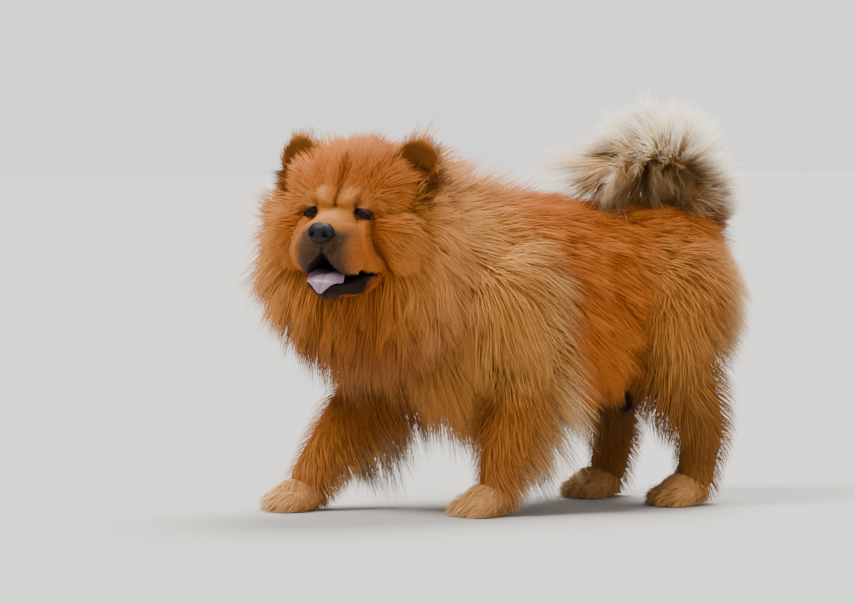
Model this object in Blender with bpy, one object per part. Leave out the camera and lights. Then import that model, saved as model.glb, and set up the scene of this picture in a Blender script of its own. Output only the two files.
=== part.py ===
"""Chow chow caught in mid stride, as a life-size still model.

The dog faces -Y, with its left side at +X, and stands on four flat soles at z = 0. All sizes are in metres.
Flesh is a chain of balls along smooth paths, fused by a voxel remesh, so that limbs flow into the body.
The whole is then parted into nodes by thin cuts. Long coat is a set of flat tapered locks that grow from a core
about half as deep as the coat, and short coat is left as a smooth surface at its tips.
"""

import bmesh
import bpy
import numpy as np
from math import radians
from mathutils import Matrix, Vector
from mathutils.bvhtree import BVHTree

# Gap between touching nodes, and the clearance that a lock keeps from a node that it passes over, more at its edges.
GAP = 0.0003
CLEAR = 0.0012
EDGE_CLEAR = 2.8
WELD = 0.000004

# The share of a long coat's depth that its core fills. Short coat is built to its full depth.
CORE_SHARE = 0.45

# Voxels and faces of the fused bodies: the trunk with its legs and tail, the head, and each paw.
TRUNK_VOXEL = 0.009
TRUNK_FACES = 1600
HEAD_VOXEL = 0.004
HEAD_FACES = 1060
PAW_VOXEL = 0.0045
PAW_FACES = 230

# Trunk: y, height of the middle, half width, half height, coat depth. Skin sizes, front to back.
TRUNK_RING = 0.050
TRUNK = (
    (-0.205, 0.365, 0.078, 0.110, 0.070),
    (-0.165, 0.360, 0.104, 0.140, 0.068),
    (-0.090, 0.358, 0.120, 0.156, 0.056),
    (0.000, 0.364, 0.120, 0.150, 0.045),
    (0.095, 0.374, 0.110, 0.136, 0.040),
    (0.190, 0.384, 0.114, 0.130, 0.036),
    (0.248, 0.384, 0.106, 0.116, 0.040),
    (0.280, 0.376, 0.080, 0.090, 0.044),
)
SHEATH = ((0.000, 0.155, 0.210), (0.014, 0.034, 0.022))

# Neck: x, y, z, radius, coat depth. It leaves the withers and bends a little to the dog's left.
NECK = (
    (0.000, -0.150, 0.385, 0.105, 0.060),
    (0.000, -0.210, 0.412, 0.110, 0.055),
    (0.004, -0.265, 0.436, 0.106, 0.048),
    (0.008, -0.305, 0.452, 0.094, 0.038),
)

# Ruff: the mane stands round the back of the head as a flattened ball, in the head's own axes.
RUFF_AT = (0.000, 0.032, -0.046)
RUFF_RADII = (0.147, 0.050, 0.146)
RUFF_COAT = 0.070
RUFF_FRONT_SHARE = 0.5

# Legs: x, y, z, radius, coat depth, share of the coat that is core, from the body down to the pastern.
# Only the short coat of the lower leg is core to its full depth. The right legs are set out alike at -x.
FORE_LEFT = (
    (0.084, -0.150, 0.370, 0.070, 0.040, 0.45),
    (0.098, -0.122, 0.300, 0.060, 0.040, 0.45),
    (0.110, -0.108, 0.238, 0.045, 0.038, 0.48),
    (0.116, -0.132, 0.165, 0.036, 0.030, 0.62),
    (0.119, -0.150, 0.100, 0.032, 0.020, 0.85),
    (0.120, -0.158, 0.055, 0.031, 0.014, 0.90),
)
FORE_RIGHT = (
    (0.084, -0.175, 0.370, 0.070, 0.040, 0.45),
    (0.098, -0.210, 0.300, 0.060, 0.040, 0.45),
    (0.108, -0.250, 0.235, 0.046, 0.038, 0.48),
    (0.114, -0.310, 0.165, 0.037, 0.030, 0.62),
    (0.118, -0.360, 0.100, 0.032, 0.020, 0.85),
    (0.120, -0.392, 0.055, 0.031, 0.014, 0.90),
)
HIND_LEFT = (
    (0.074, 0.215, 0.370, 0.080, 0.036, 0.45),
    (0.092, 0.205, 0.310, 0.074, 0.038, 0.45),
    (0.102, 0.200, 0.245, 0.054, 0.036, 0.50),
    (0.106, 0.228, 0.180, 0.039, 0.028, 0.62),
    (0.106, 0.250, 0.130, 0.031, 0.018, 0.85),
    (0.106, 0.244, 0.085, 0.029, 0.014, 0.90),
    (0.106, 0.238, 0.050, 0.030, 0.012, 0.90),
)
HIND_STRIDE_RIGHT = -0.048

# Paws: a round pad with four toes at its front, each toe with a blunt claw.
PAW_PAD = (0.036, 0.044, 0.032)
PAW_HEIGHT = 0.030
TOE = (0.0135, 0.024, 0.020)
TOE_SPREAD = (-0.033, -0.0115, 0.0115, 0.033)
TOE_REACH = (0.026, 0.036, 0.036, 0.026)
CLAW = (0.0036, 0.0100, 0.0046)
CLAW_AHEAD = 0.021
CLAW_HEIGHT = 0.010
PAW_FRONT = 0.020
SOLE_TRIM = 0.004

# Tail: x, y, z, radius, coat depth. It is set high and curls forward over the back.
TAIL = (
    (0.000, 0.262, 0.470, 0.030, 0.030),
    (0.000, 0.290, 0.520, 0.026, 0.050),
    (0.003, 0.292, 0.565, 0.023, 0.060),
    (0.006, 0.262, 0.598, 0.021, 0.060),
    (0.008, 0.215, 0.606, 0.019, 0.056),
    (0.010, 0.165, 0.592, 0.016, 0.050),
    (0.010, 0.125, 0.576, 0.012, 0.040),
)

# The plume's hair fans out from this point inside the curl.
PLUME_FROM = (0.004, 0.205, 0.505)

# Head: turned to the dog's left about this point. Inside the head, -y is forward and the eyes are near z = 0.
HEAD_AT = (0.012, -0.369, 0.500)
HEAD_TURN = radians(39.0)
HEAD_ROLL = radians(2.0)

# Head masses, as centre and radii. Those off the middle are mirrored.
HEAD_MASSES = {
    "skull": ((0.000, 0.005, 0.022), (0.099, 0.108, 0.092)),
    "temple": ((0.055, -0.030, 0.030), (0.045, 0.062, 0.062)),
    "cheek": ((0.066, -0.030, -0.030), (0.056, 0.070, 0.066)),
    "throat": ((0.000, 0.010, -0.060), (0.092, 0.064, 0.066)),
    "bridge": ((0.000, -0.092, -0.014), (0.036, 0.050, 0.026)),
    "muzzle": ((0.000, -0.104, -0.036), (0.053, 0.050, 0.038)),
    "flew": ((0.030, -0.112, -0.055), (0.028, 0.040, 0.036)),
    "cheek_pad": ((0.060, -0.074, -0.040), (0.032, 0.044, 0.045)),
    "brow": ((0.023, -0.096, 0.040), (0.019, 0.018, 0.018)),
    "outer_brow": ((0.056, -0.076, 0.036), (0.026, 0.024, 0.017)),
    "jaw_side": ((0.030, -0.072, -0.108), (0.018, 0.052, 0.020)),
    "chin": ((0.000, -0.112, -0.118), (0.030, 0.022, 0.017)),
    "jaw_floor": ((0.000, -0.070, -0.114), (0.036, 0.056, 0.016)),
    "jaw_root": ((0.000, -0.046, -0.090), (0.046, 0.046, 0.034)),
    "jowl": ((0.044, -0.034, -0.080), (0.032, 0.040, 0.034)),
}

# Mouth: the jaw hangs open from its hinge line, and an arch opens between the flews under the nose.
MOUTH_HALF = 0.064
JAW_HALF = 0.0485
HINGE_Y = -0.046
HINGE_Z = -0.087
LIP_FRONT_Y = -0.180
UPPER_LIP_Z = -0.093
LOWER_LIP_Z = -0.118
ARCH = ((0.000, -0.125, -0.080), (0.021, 0.050, 0.026))
TROUGH = ((0.000, -0.082, -0.100), (0.024, 0.040, 0.010))

# Eyes, nose and ears, in the head's own axes.
EYE_AT = (0.047, -0.084, 0.009)
EYE_RADIUS = 0.0125
LID_RADIUS = 0.0155
LID_THICKNESS = 0.0022
LID_OPENING = 0.42
NOSE_AT = (0.000, -0.150, -0.022)
NOSE_RADII = (0.0225, 0.0170, 0.0165)
NOSTRIL_AT = (0.0098, -0.168, -0.0235)
NOSTRIL_RADII = (0.0052, 0.0110, 0.0058)
EAR_AT = (0.092, -0.010, 0.074)
EAR_WIDTH = 0.036
EAR_HEIGHT = 0.066
EAR_ROOT = 0.034
EAR_THICKNESS = 0.015
EAR_CUP = 0.014
HEAD_BACK_Y = 0.030
EAR_LEAN = radians(17.0)
EAR_TURN = radians(14.0)

# Tongue: y, z, half width and thickness along its middle, from the back of the mouth to the tip over the lip.
TONGUE = (
    (-0.052, -0.0935, 0.014, 0.0060),
    (-0.080, -0.0975, 0.020, 0.0065),
    (-0.110, -0.1010, 0.025, 0.0065),
    (-0.132, -0.1035, 0.030, 0.0060),
    (-0.1415, -0.1110, 0.027, 0.0050),
    (-0.1440, -0.1210, 0.016, 0.0042),
    (-0.1445, -0.1290, 0.005, 0.0032),
)
TONGUE_CURL = 0.006

# Cuts between nodes: paw from leg, leg from trunk (inner edge, height, slope), tail from rump, neck from withers.
PAW_TOP = 0.056
LEG_CUTS = {"fore": (0.050, 0.190, radians(26.0)), "hind": (0.045, 0.232, radians(30.0))}
TAIL_CUT = 0.527
NECK_CUT = (0.0, -0.200, 0.430)
NECK_CUT_LEAN = radians(22.0)

# Locks: each has a root sunk this deep, rings at these shares of its length, and these widths and heights there.
ROOT_SINK = 0.011
LOCK_RINGS = (0.0, 0.36, 0.72)
LOCK_WIDTHS = (0.95, 1.00, 0.62)
LOCK_HEIGHTS = (0.20, 0.22, 0.12)
FLOOR_CLEAR = 0.012

# Lock sets by node: spacing of the roots, length, width, rise of the root and of the tip, droop of the tip.
LOCK_SETS = {
    "neck": (0.051, 0.104, 0.070, 0.38, 0.00, 0.30),
    "torso": (0.069, 0.130, 0.082, 0.19, -0.04, 0.12),
    "tail": (0.036, 0.100, 0.062, 0.42, -0.10, 0.00),
    "head": (0.037, 0.068, 0.048, 0.34, 0.10, 0.10),
    "leg_fore_left": (0.052, 0.068, 0.052, 0.28, 0.04, 0.15),
    "leg_fore_right": (0.052, 0.072, 0.052, 0.28, 0.04, 0.15),
    "leg_hind_left": (0.056, 0.074, 0.054, 0.24, 0.04, 0.15),
    "leg_hind_right": (0.056, 0.074, 0.054, 0.24, 0.04, 0.15),
}
LOCK_TRIES = ((1.0, 0.0), (1.0, 0.10), (0.95, 0.20), (0.85, 0.32), (0.7, 0.42), (0.5, 0.55))
LOCK_SEED = 7

NODE_MATERIALS = {
    "neck": "coat_ruff",
    "tail": "coat_cream",
    "nose": "nose_leather",
    "eye_left": "eye_dark",
    "eye_right": "eye_dark",
    "tongue": "tongue_blue",
}

COAT_COLOURS = {
    "coat_orange": (0.46, 0.17, 0.045, 0.85),
    "coat_ruff": (0.50, 0.22, 0.075, 0.85),
    "coat_cream": (0.78, 0.62, 0.42, 0.85),
    "nose_leather": (0.035, 0.038, 0.045, 0.45),
    "eye_dark": (0.020, 0.012, 0.008, 0.10),
    "tongue_blue": (0.34, 0.26, 0.33, 0.40),
}


def clear_scene():
    for obj in list(bpy.data.objects):
        bpy.data.objects.remove(obj)


def material(name):
    """The Principled material of this name, made once from its colour and roughness."""
    found = bpy.data.materials.get(name)
    if found:
        return found
    red, green, blue, roughness = COAT_COLOURS[name]
    made = bpy.data.materials.new(name)
    made.use_nodes = True
    shader = made.node_tree.nodes["Principled BSDF"]
    shader.inputs["Base Color"].default_value = (red, green, blue, 1.0)
    shader.inputs["Roughness"].default_value = roughness
    shader.inputs["Metallic"].default_value = 0.0
    return made


def new_object(name, mesh, material_name=None, helper=False):
    obj = bpy.data.objects.new(name, mesh)
    bpy.context.scene.collection.objects.link(obj)
    if material_name:
        mesh.materials.clear()
        mesh.materials.append(material(material_name))
    if helper:
        obj.hide_render = True
        obj.display_type = "WIRE"
    return obj


def mesh_from(bm, name):
    mesh = bpy.data.meshes.new(name)
    bm.to_mesh(mesh)
    bm.free()
    return mesh


def applied(obj):
    """Replaces the object's mesh by what its modifiers make of it."""
    graph = bpy.context.evaluated_depsgraph_get()
    mesh = bpy.data.meshes.new_from_object(obj.evaluated_get(graph))
    obj.modifiers.clear()
    obj.data = mesh
    return obj


def remove(*objects):
    for obj in objects:
        bpy.data.objects.remove(obj)


def along(rows, count):
    """Smooth points through the rows: a Catmull-Rom curve through each column, at even parameter steps."""
    rows = np.array(rows, float)
    ends = np.vstack([2 * rows[0] - rows[1], rows, 2 * rows[-1] - rows[-2]])
    place = np.linspace(0, len(rows) - 1, count)
    index = np.minimum(place.astype(int), len(rows) - 2)
    t = (place - index)[:, None]
    before, start, end, after = (ends[index + k] for k in range(4))
    return 0.5 * (
        2 * start
        + (end - before) * t
        + (2 * before - 5 * start + 4 * end - after) * t**2
        + (3 * start - before - 3 * end + after) * t**3
    )


def add_ball(bm, centre, radii, subdivisions=3):
    bmesh.ops.create_icosphere(
        bm,
        subdivisions=subdivisions,
        radius=1.0,
        matrix=Matrix.LocRotScale(Vector(centre), None, Vector(radii)),
    )


def ball_object(name, centre, radii, subdivisions=3):
    bm = bmesh.new()
    add_ball(bm, centre, radii, subdivisions)
    return new_object(name, mesh_from(bm, name), helper=True)


def fused(name, bm, voxel, faces, smoothing):
    """One smooth closed surface round all the balls, thinned to about this many triangles."""
    obj = new_object(name, mesh_from(bm, name))
    remesh = obj.modifiers.new("fuse", "REMESH")
    remesh.mode = "VOXEL"
    remesh.voxel_size = voxel
    smooth = obj.modifiers.new("soften", "SMOOTH")
    smooth.factor = 0.5
    smooth.iterations = smoothing
    applied(obj)
    thin = obj.modifiers.new("thin", "DECIMATE")
    obj.data.calc_loop_triangles()
    thin.ratio = faces / len(obj.data.loop_triangles)
    return applied(obj)


def boolean(obj, other, operation):
    """Applies one Boolean with another object and removes that object."""
    cut = obj.modifiers.new("boolean", "BOOLEAN")
    cut.operation = operation
    cut.object = other
    cut.solver = "EXACT"
    applied(obj)
    remove(other)
    return obj


def copy_of(obj, name):
    made = obj.copy()
    made.data = obj.data.copy()
    made.name = name
    bpy.context.scene.collection.objects.link(made)
    return made


def box_cutter(low, high, matrix=None):
    bm = bmesh.new()
    size = Vector(high) - Vector(low)
    middle = (Vector(high) + Vector(low)) / 2
    bmesh.ops.create_cube(bm, size=1.0, matrix=Matrix.LocRotScale(middle, None, size))
    if matrix:
        bmesh.ops.transform(bm, matrix=matrix, verts=bm.verts)
    return new_object("box_cutter", mesh_from(bm, "box_cutter"), helper=True)


def keep_largest(obj):
    """Keeps only the closed surface of the largest volume. Surfaces that share only a corner count as apart."""
    bm = bmesh.new()
    bm.from_mesh(obj.data)
    bmesh.ops.triangulate(bm, faces=bm.faces)
    bmesh.ops.remove_doubles(bm, verts=bm.verts, dist=WELD)
    bm.faces.ensure_lookup_table()
    bm.faces.index_update()
    parent = list(range(len(bm.faces)))

    def root_of(index):
        while parent[index] != index:
            parent[index] = parent[parent[index]]
            index = parent[index]
        return index

    for edge in bm.edges:
        if len(edge.link_faces) == 2:
            first, second = (root_of(face.index) for face in edge.link_faces)
            parent[first] = second
    volumes = {}
    for face in bm.faces:
        a, b, c = (v.co for v in face.verts)
        island = root_of(face.index)
        volumes[island] = volumes.get(island, 0.0) + a.dot(b.cross(c)) / 6
    largest = max(volumes, key=volumes.get)
    loose = [face for face in bm.faces if root_of(face.index) != largest]
    bmesh.ops.delete(bm, geom=loose, context="FACES")
    bm.to_mesh(obj.data)
    bm.free()
    return obj


def split_off(whole, name, low, high, matrix=None):
    """Takes the part of the whole inside a box as a node, and leaves the whole with a gap round that box."""
    node = copy_of(whole, name)
    boolean(node, box_cutter(low, high, matrix), "INTERSECT")
    gap = Vector((GAP, GAP, GAP))
    boolean(whole, box_cutter(Vector(low) - gap, Vector(high) + gap, matrix), "DIFFERENCE")
    return keep_largest(node)


def mirrored(rows, side):
    return [(side * row[0], *row[1:]) for row in rows]


def shifted(rows, back):
    return [(row[0], row[1] + back, *row[2:]) for row in rows]


LEG_ROWS = {
    "fore_left": FORE_LEFT,
    "fore_right": mirrored(FORE_RIGHT, -1),
    "hind_left": HIND_LEFT,
    "hind_right": mirrored(shifted(HIND_LEFT, HIND_STRIDE_RIGHT), -1),
}


def add_trunk(bm, share):
    for y, z, half_width, half_height, coat in along(TRUNK, 40):
        grow = share * coat
        add_ball(bm, (0.0, y, z), (half_width + grow, TRUNK_RING + grow, half_height + grow))


def add_limb(bm, rows, count, share=None):
    """A limb as balls along its bones, each as wide as the flesh and the share of the coat given here or by its row."""
    for x, y, z, radius, coat, *own in along(rows, count):
        size = radius + coat * (own[0] if share is None else share)
        add_ball(bm, (x, y, z), (size, size, size))


def paw_place(leg):
    x, y = LEG_ROWS[leg][-1][:2]
    return x, y - PAW_FRONT


def add_paw(bm, leg):
    x, y = paw_place(leg)
    add_ball(bm, (x, y, PAW_HEIGHT - SOLE_TRIM), PAW_PAD)
    for across, reach in zip(TOE_SPREAD, TOE_REACH):
        add_ball(bm, (x + across, y - reach, TOE[2] - SOLE_TRIM), TOE)


def paw_box(leg):
    x, y = paw_place(leg)
    return Vector((x - 0.08, y - 0.10, 0.0)), Vector((x + 0.08, y + 0.10, PAW_TOP))


def paw_object(leg):
    """A paw with its pastern, four toes and four claws, cut flat at the sole and across the pastern."""
    bm = bmesh.new()
    add_limb(bm, along(LEG_ROWS[leg], 26)[-9:], 9)
    add_paw(bm, leg)
    paw = fused(f"paw_{leg}", bm, PAW_VOXEL, PAW_FACES, 3)
    boolean(paw, box_cutter(*paw_box(leg)), "INTERSECT")
    x, y = paw_place(leg)
    for across, reach in zip(TOE_SPREAD, TOE_REACH):
        place = (x + across, y - reach - CLAW_AHEAD, CLAW_HEIGHT)
        boolean(paw, ball_object("claw", place, CLAW, 1), "UNION")
    return keep_largest(paw)


def trunk_whole(share):
    """Trunk, neck, legs, paws and the tail's root in one surface, cut flat at the floor."""
    bm = bmesh.new()
    add_trunk(bm, share)
    add_limb(bm, NECK, 14, share)
    add_limb(bm, TAIL, 24, share)
    for leg, rows in LEG_ROWS.items():
        add_limb(bm, rows, 26)
        add_paw(bm, leg)
    add_ball(bm, *SHEATH)
    ruff = bmesh.ops.create_icosphere(bm, subdivisions=3, radius=1.0)["verts"]
    across, deep, tall = RUFF_RADII
    grow = share * RUFF_COAT
    radii = (across + grow, deep + grow * RUFF_FRONT_SHARE, tall + grow)
    place = head_matrix() @ Matrix.LocRotScale(Vector(RUFF_AT), None, Vector(radii))
    bmesh.ops.transform(bm, matrix=place, verts=ruff)
    whole = fused("trunk_whole", bm, TRUNK_VOXEL, TRUNK_FACES, 5)
    return boolean(whole, box_cutter((-1, -1, -1), (1, 1, 0)), "DIFFERENCE")


def head_matrix():
    turn = Matrix.Rotation(HEAD_TURN, 4, "Z") @ Matrix.Rotation(HEAD_ROLL, 4, "Y")
    return Matrix.Translation(HEAD_AT) @ turn


def both_sides(centre):
    return [centre] if centre[0] == 0 else [centre, (-centre[0], *centre[1:])]


def head_whole():
    """The head with its mouth shut: one surface round its masses and their mirror images."""
    bm = bmesh.new()
    for centre, radii in HEAD_MASSES.values():
        for place in both_sides(centre):
            add_ball(bm, place, radii)
    return fused("head_whole", bm, HEAD_VOXEL, HEAD_FACES, 4)


def mouth_wedge(low_shift=0.0):
    """The gap between the lips: a wedge that opens forward from the jaw's hinge line."""
    half = MOUTH_HALF
    side = (
        (HINGE_Y + 0.006, HINGE_Z + 0.0015),
        (HINGE_Y + 0.006, HINGE_Z - 0.0015 - low_shift),
        (LIP_FRONT_Y, LOWER_LIP_Z - low_shift),
        (LIP_FRONT_Y, UPPER_LIP_Z),
    )
    bm = bmesh.new()
    left = [bm.verts.new((half, y, z)) for y, z in side]
    right = [bm.verts.new((-half, y, z)) for y, z in side]
    bm.faces.new(left)
    bm.faces.new(right[::-1])
    for k in range(4):
        bm.faces.new((left[k], right[k], right[(k + 1) % 4], left[(k + 1) % 4]))
    bmesh.ops.recalc_face_normals(bm, faces=bm.faces)
    return new_object("mouth_wedge", mesh_from(bm, "mouth_wedge"), helper=True)


def lid_ring(side):
    """An almond ring of lid round one eye, as a closed tube on the eyeball's front."""
    around, sides = 14, 5
    bm = bmesh.new()
    rings = []
    for k in range(around):
        turn = 2 * np.pi * k / around
        across = LID_RADIUS * 0.92 * np.cos(turn)
        up = LID_RADIUS * LID_OPENING * np.sin(turn)
        front = -np.sqrt(max(LID_RADIUS**2 - across**2 - up**2, 0.0))
        middle = Vector((across, front, up - 0.25 * abs(across) * 0.5))
        outward = middle.normalized()
        spread = Vector((np.cos(turn), 0, np.sin(turn)))
        ring = []
        for j in range(sides):
            roll = 2 * np.pi * j / sides
            offset = outward * np.cos(roll) + spread * np.sin(roll)
            place = middle + spread * LID_THICKNESS * 0.6 + offset * LID_THICKNESS
            ring.append(bm.verts.new((side * (EYE_AT[0] + place.x), EYE_AT[1] + place.y, EYE_AT[2] + place.z)))
        rings.append(ring)
    for k in range(around):
        following = rings[(k + 1) % around]
        for j in range(sides):
            nxt = (j + 1) % sides
            bm.faces.new((rings[k][j], rings[k][nxt], following[nxt], following[j]))
    bmesh.ops.recalc_face_normals(bm, faces=bm.faces)
    return new_object("lid_ring", mesh_from(bm, "lid_ring"), helper=True)


def nose_object(name, extra, subdivisions):
    """The nose leather, grown by an extra width where it is the cutter of its own seat."""
    radii = tuple(r + extra for r in NOSE_RADII)
    nose = ball_object(name, NOSE_AT, radii, subdivisions)
    nose.hide_render = False
    nose.display_type = "TEXTURED"
    return nose


def rim_of(sheet):
    """The outer points of a sheet of rows, in order round it."""
    up = [row[0] for row in sheet]
    down = [row[-1] for row in sheet[-2::-1]]
    return up + sheet[-1][1:] + down + sheet[0][-2:0:-1]


def ear_object(name, side):
    """A thick rounded triangle, hollowed in front: width and cup depth shrink towards the tip."""
    heights = (-EAR_ROOT / EAR_HEIGHT, 0.0, 0.28, 0.54, 0.76, 0.92, 1.0)
    rows, columns = len(heights), 7
    bm = bmesh.new()
    sheets = []
    for front in (True, False):
        sheet = []
        for v in heights:
            high = max(v, 0.0)
            half = EAR_WIDTH * max((1 - high**2.6) ** 0.62, 0.16)
            thick = EAR_THICKNESS * (1 - 0.45 * high)
            line = []
            for j in range(columns):
                u = 2 * j / (columns - 1) - 1
                edge = (1 - u * u) * (1 - 0.6 * high)
                back = 0.008 * high
                depth = EAR_CUP * edge - thick * 0.5 * edge**0.5 if front else EAR_CUP * edge + thick * 0.5
                place = Vector((side * half * u, back + depth, EAR_HEIGHT * v))
                line.append(bm.verts.new(place))
            sheet.append(line)
        sheets.append(sheet)
    front, back = sheets
    for sheet, flip in ((front, False), (back, True)):
        for i in range(rows - 1):
            for j in range(columns - 1):
                face = (sheet[i][j], sheet[i][j + 1], sheet[i + 1][j + 1], sheet[i + 1][j])
                bm.faces.new(face[::-1] if flip else face)
    front_rim, back_rim = rim_of(front), rim_of(back)
    for k in range(len(front_rim)):
        nxt = (k + 1) % len(front_rim)
        bm.faces.new((front_rim[k], front_rim[nxt], back_rim[nxt], back_rim[k]))
    bmesh.ops.recalc_face_normals(bm, faces=bm.faces)
    lean = Matrix.Rotation(side * EAR_LEAN, 4, "Y") @ Matrix.Rotation(side * EAR_TURN, 4, "Z")
    place = Matrix.Translation((side * EAR_AT[0], EAR_AT[1], EAR_AT[2])) @ lean
    bmesh.ops.transform(bm, matrix=place, verts=bm.verts)
    return new_object(name, mesh_from(bm, name))


def tongue_object():
    """A flat tapered blade along its own path, with its edges curled up."""
    rows = along(TONGUE, 10)
    columns = 5
    bm = bmesh.new()
    rings = []
    for k, (y, z, half, thick) in enumerate(rows):
        ahead = rows[min(k + 1, len(rows) - 1)] - rows[max(k - 1, 0)]
        normal = Vector((0, ahead[1], -ahead[0])).normalized()
        if normal.z < 0:
            normal = -normal
        ring = []
        for sign in (1, -1):
            order = range(columns) if sign > 0 else range(columns - 1, -1, -1)
            for j in order:
                u = 2 * j / (columns - 1) - 1
                lift = TONGUE_CURL * (half / 0.03) * (abs(u) ** 2) + sign * thick / 2 * (1 - 0.5 * abs(u))
                ring.append(bm.verts.new(Vector((half * u, y, z)) + normal * lift))
        rings.append(ring)
    count = len(rings[0])
    for first, second in zip(rings, rings[1:]):
        for j in range(count):
            nxt = (j + 1) % count
            bm.faces.new((first[j], first[nxt], second[nxt], second[j]))
    bm.faces.new(rings[0][::-1])
    bm.faces.new(rings[-1])
    bmesh.ops.recalc_face_normals(bm, faces=bm.faces)
    return new_object("tongue", mesh_from(bm, "tongue"))


def clear_direction(vert):
    """The direction that leads away from all faces round a vertex, and how steeply it leaves the nearest of them."""
    normals = [face.normal for face in vert.link_faces]
    away = vert.normal.copy()
    for _ in range(24):
        least = min(normals, key=away.dot)
        away = (away + 0.2 * least).normalized()
    return away, max(min(away.dot(n) for n in normals), 0.3)


def grown(obj, name, amount):
    """A copy whose every face stands this much further out, for cutting a neighbour clear of it."""
    made = copy_of(obj, name)
    made.hide_render = True
    bm = bmesh.new()
    bm.from_mesh(made.data)
    bmesh.ops.triangulate(bm, faces=bm.faces)
    bm.normal_update()
    places = []
    for vert in bm.verts:
        away, steepness = clear_direction(vert)
        places.append(vert.co + away * amount / steepness)
    for vert, place in zip(bm.verts, places):
        vert.co = place
    bm.to_mesh(made.data)
    bm.free()
    return made


def head_nodes():
    """The head with its mouth, seats and lids, and what sits in it, all in the head's own axes."""
    whole = head_whole()
    boolean(whole, box_cutter((-0.2, HEAD_BACK_Y, -0.2), (0.2, 0.2, 0.2)), "DIFFERENCE")
    seat_of_head = grown(whole, "head_seat", GAP)
    boolean(whole, mouth_wedge(), "DIFFERENCE")
    boolean(whole, ball_object("arch", *ARCH), "DIFFERENCE")
    boolean(whole, ball_object("trough", *TROUGH, 2), "DIFFERENCE")
    jaw = split_off(whole, "lower_jaw", (-JAW_HALF, -0.30, -0.30), (JAW_HALF, HINGE_Y, HINGE_Z))
    tongue = tongue_object()
    for part in (jaw, whole):
        boolean(part, grown(tongue, "tongue_seat", GAP), "DIFFERENCE")
    keep_largest(jaw)
    boolean(whole, nose_object("nose_seat", GAP, 2), "DIFFERENCE")
    nose = nose_object("nose", 0.0, 2)
    for side in (1, -1):
        place = (side * NOSTRIL_AT[0], *NOSTRIL_AT[1:])
        boolean(nose, ball_object("nostril", place, NOSTRIL_RADII, 2), "DIFFERENCE")
    nodes = {"lower_jaw": jaw, "nose": nose, "tongue": tongue}
    for word, side in (("left", 1), ("right", -1)):
        socket = (side * EYE_AT[0], EYE_AT[1] - 0.006, EYE_AT[2])
        boolean(whole, ball_object("socket", socket, (0.0150, 0.0150, 0.0090), 2), "DIFFERENCE")
        boolean(whole, lid_ring(side), "UNION")
        eye = (side * EYE_AT[0], EYE_AT[1], EYE_AT[2])
        seat = EYE_RADIUS + GAP + 0.0002
        boolean(whole, ball_object("seat", eye, (seat,) * 3, 2), "DIFFERENCE")
        nodes[f"eye_{word}"] = ball_object(f"eye_{word}", eye, (EYE_RADIUS,) * 3, 2)
        nodes[f"eye_{word}"].hide_render = False
        nodes[f"eye_{word}"].display_type = "TEXTURED"
        ear = ear_object(f"ear_{word}", side)
        nodes[f"ear_{word}"] = keep_largest(boolean(ear, grown(whole, "head_grown", GAP), "DIFFERENCE"))
    nodes["head"] = keep_largest(whole)
    nodes["head"].name = "head"
    return nodes, seat_of_head


def unit(vector):
    return vector / max(np.linalg.norm(vector), 1e-9)


def ease(low, high, value):
    """0 below low, 1 above high, and a smooth rise between."""
    t = min(max((value - low) / (high - low), 0.0), 1.0)
    return t * t * (3 - 2 * t)


def lie_torso(place, normal):
    """Hair runs back, sinks along the sides, and hangs under the belly and off the rump, where it is shorter."""
    side = 1 - abs(normal[2])
    rump = ease(0.19, 0.30, place[1])
    under = ease(0.2, 0.8, -normal[2])
    hang = max(rump * 0.85, under)
    back = np.array([0.0, 0.85, -0.12 - 0.50 * side])
    down = np.array([0.0, 0.35, -0.90])
    brisket = 1 - ease(-0.12, 0.06, place[1])
    return unit(back * (1 - hang) + down * hang), 1 - 0.25 * rump - 0.30 * under * (1 - brisket)


def lie_neck(place, normal):
    """The mane stands out from the face in a wheel, and runs back along the neck and down over the chest."""
    local = np.array(head_matrix().inverted() @ Vector(place))
    wheel = unit(np.array([local[0], 0.0, local[2] - RUFF_AT[2]]))
    out = np.array(head_matrix().to_3x3() @ Vector(wheel * 0.55 + np.array([0.0, 0.75, 0.0])))
    back = np.array([0.30 * np.sign(normal[0]) * abs(normal[0]), 0.80, -0.45])
    behind = ease(0.03, 0.13, local[1])
    top = ease(0.3, 0.9, normal[2]) * (0.60 + 0.40 * behind)
    chest = ease(0.0, 0.6, -normal[2]) * (1 - ease(0.24, 0.34, place[2]))
    lie = out * (1 - behind) + back * behind + np.array([0.0, 0.30 * top, -0.16 - 0.40 * top - 1.2 * chest])
    return unit(lie), 1 - 0.45 * top + 0.10 * chest


def lie_tail(place, normal):
    """The plume fans out from inside the curl, turns towards the tail's tip, and spreads to both sides."""
    away = unit((np.array(place) - np.array(PLUME_FROM)) * (0.5, 1.0, 1.0))
    onward = np.array([0.0, -away[2], away[1]])
    aside = np.array([0.30 * np.sign(normal[0]) * abs(normal[0]), 0.0, 0.0])
    return unit(away + 0.55 * onward + aside), 1 - 0.25 * ease(0.0, 0.9, away[1])


def lie_head(place, normal):
    """Crown, cheek and throat hair runs away from the eyes, outward and back."""
    local = np.array(head_matrix().inverted() @ Vector(place))
    wheel = unit(np.array([local[0], 0.0, local[2]]))
    lie = np.array(head_matrix().to_3x3() @ Vector(wheel * 0.55 + np.array([0.0, 0.75, 0.0])))
    return unit(lie), 1 - 0.25 * ease(0.4, 0.9, normal[2])


def lie_leg(place, normal):
    """Feather runs down the leg and away behind it."""
    return unit(np.array([0.10 * normal[0], 0.34, -0.90])), 1.0


def grows_torso(place, normal):
    return True


def grows_neck(place, normal):
    local = head_matrix().inverted() @ Vector(place)
    return not (local.y < 0.0 and abs(local.x) < 0.10 and abs(local.z) < 0.11)


def grows_tail(place, normal):
    return place[2] > TAIL_CUT + 0.006


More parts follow.
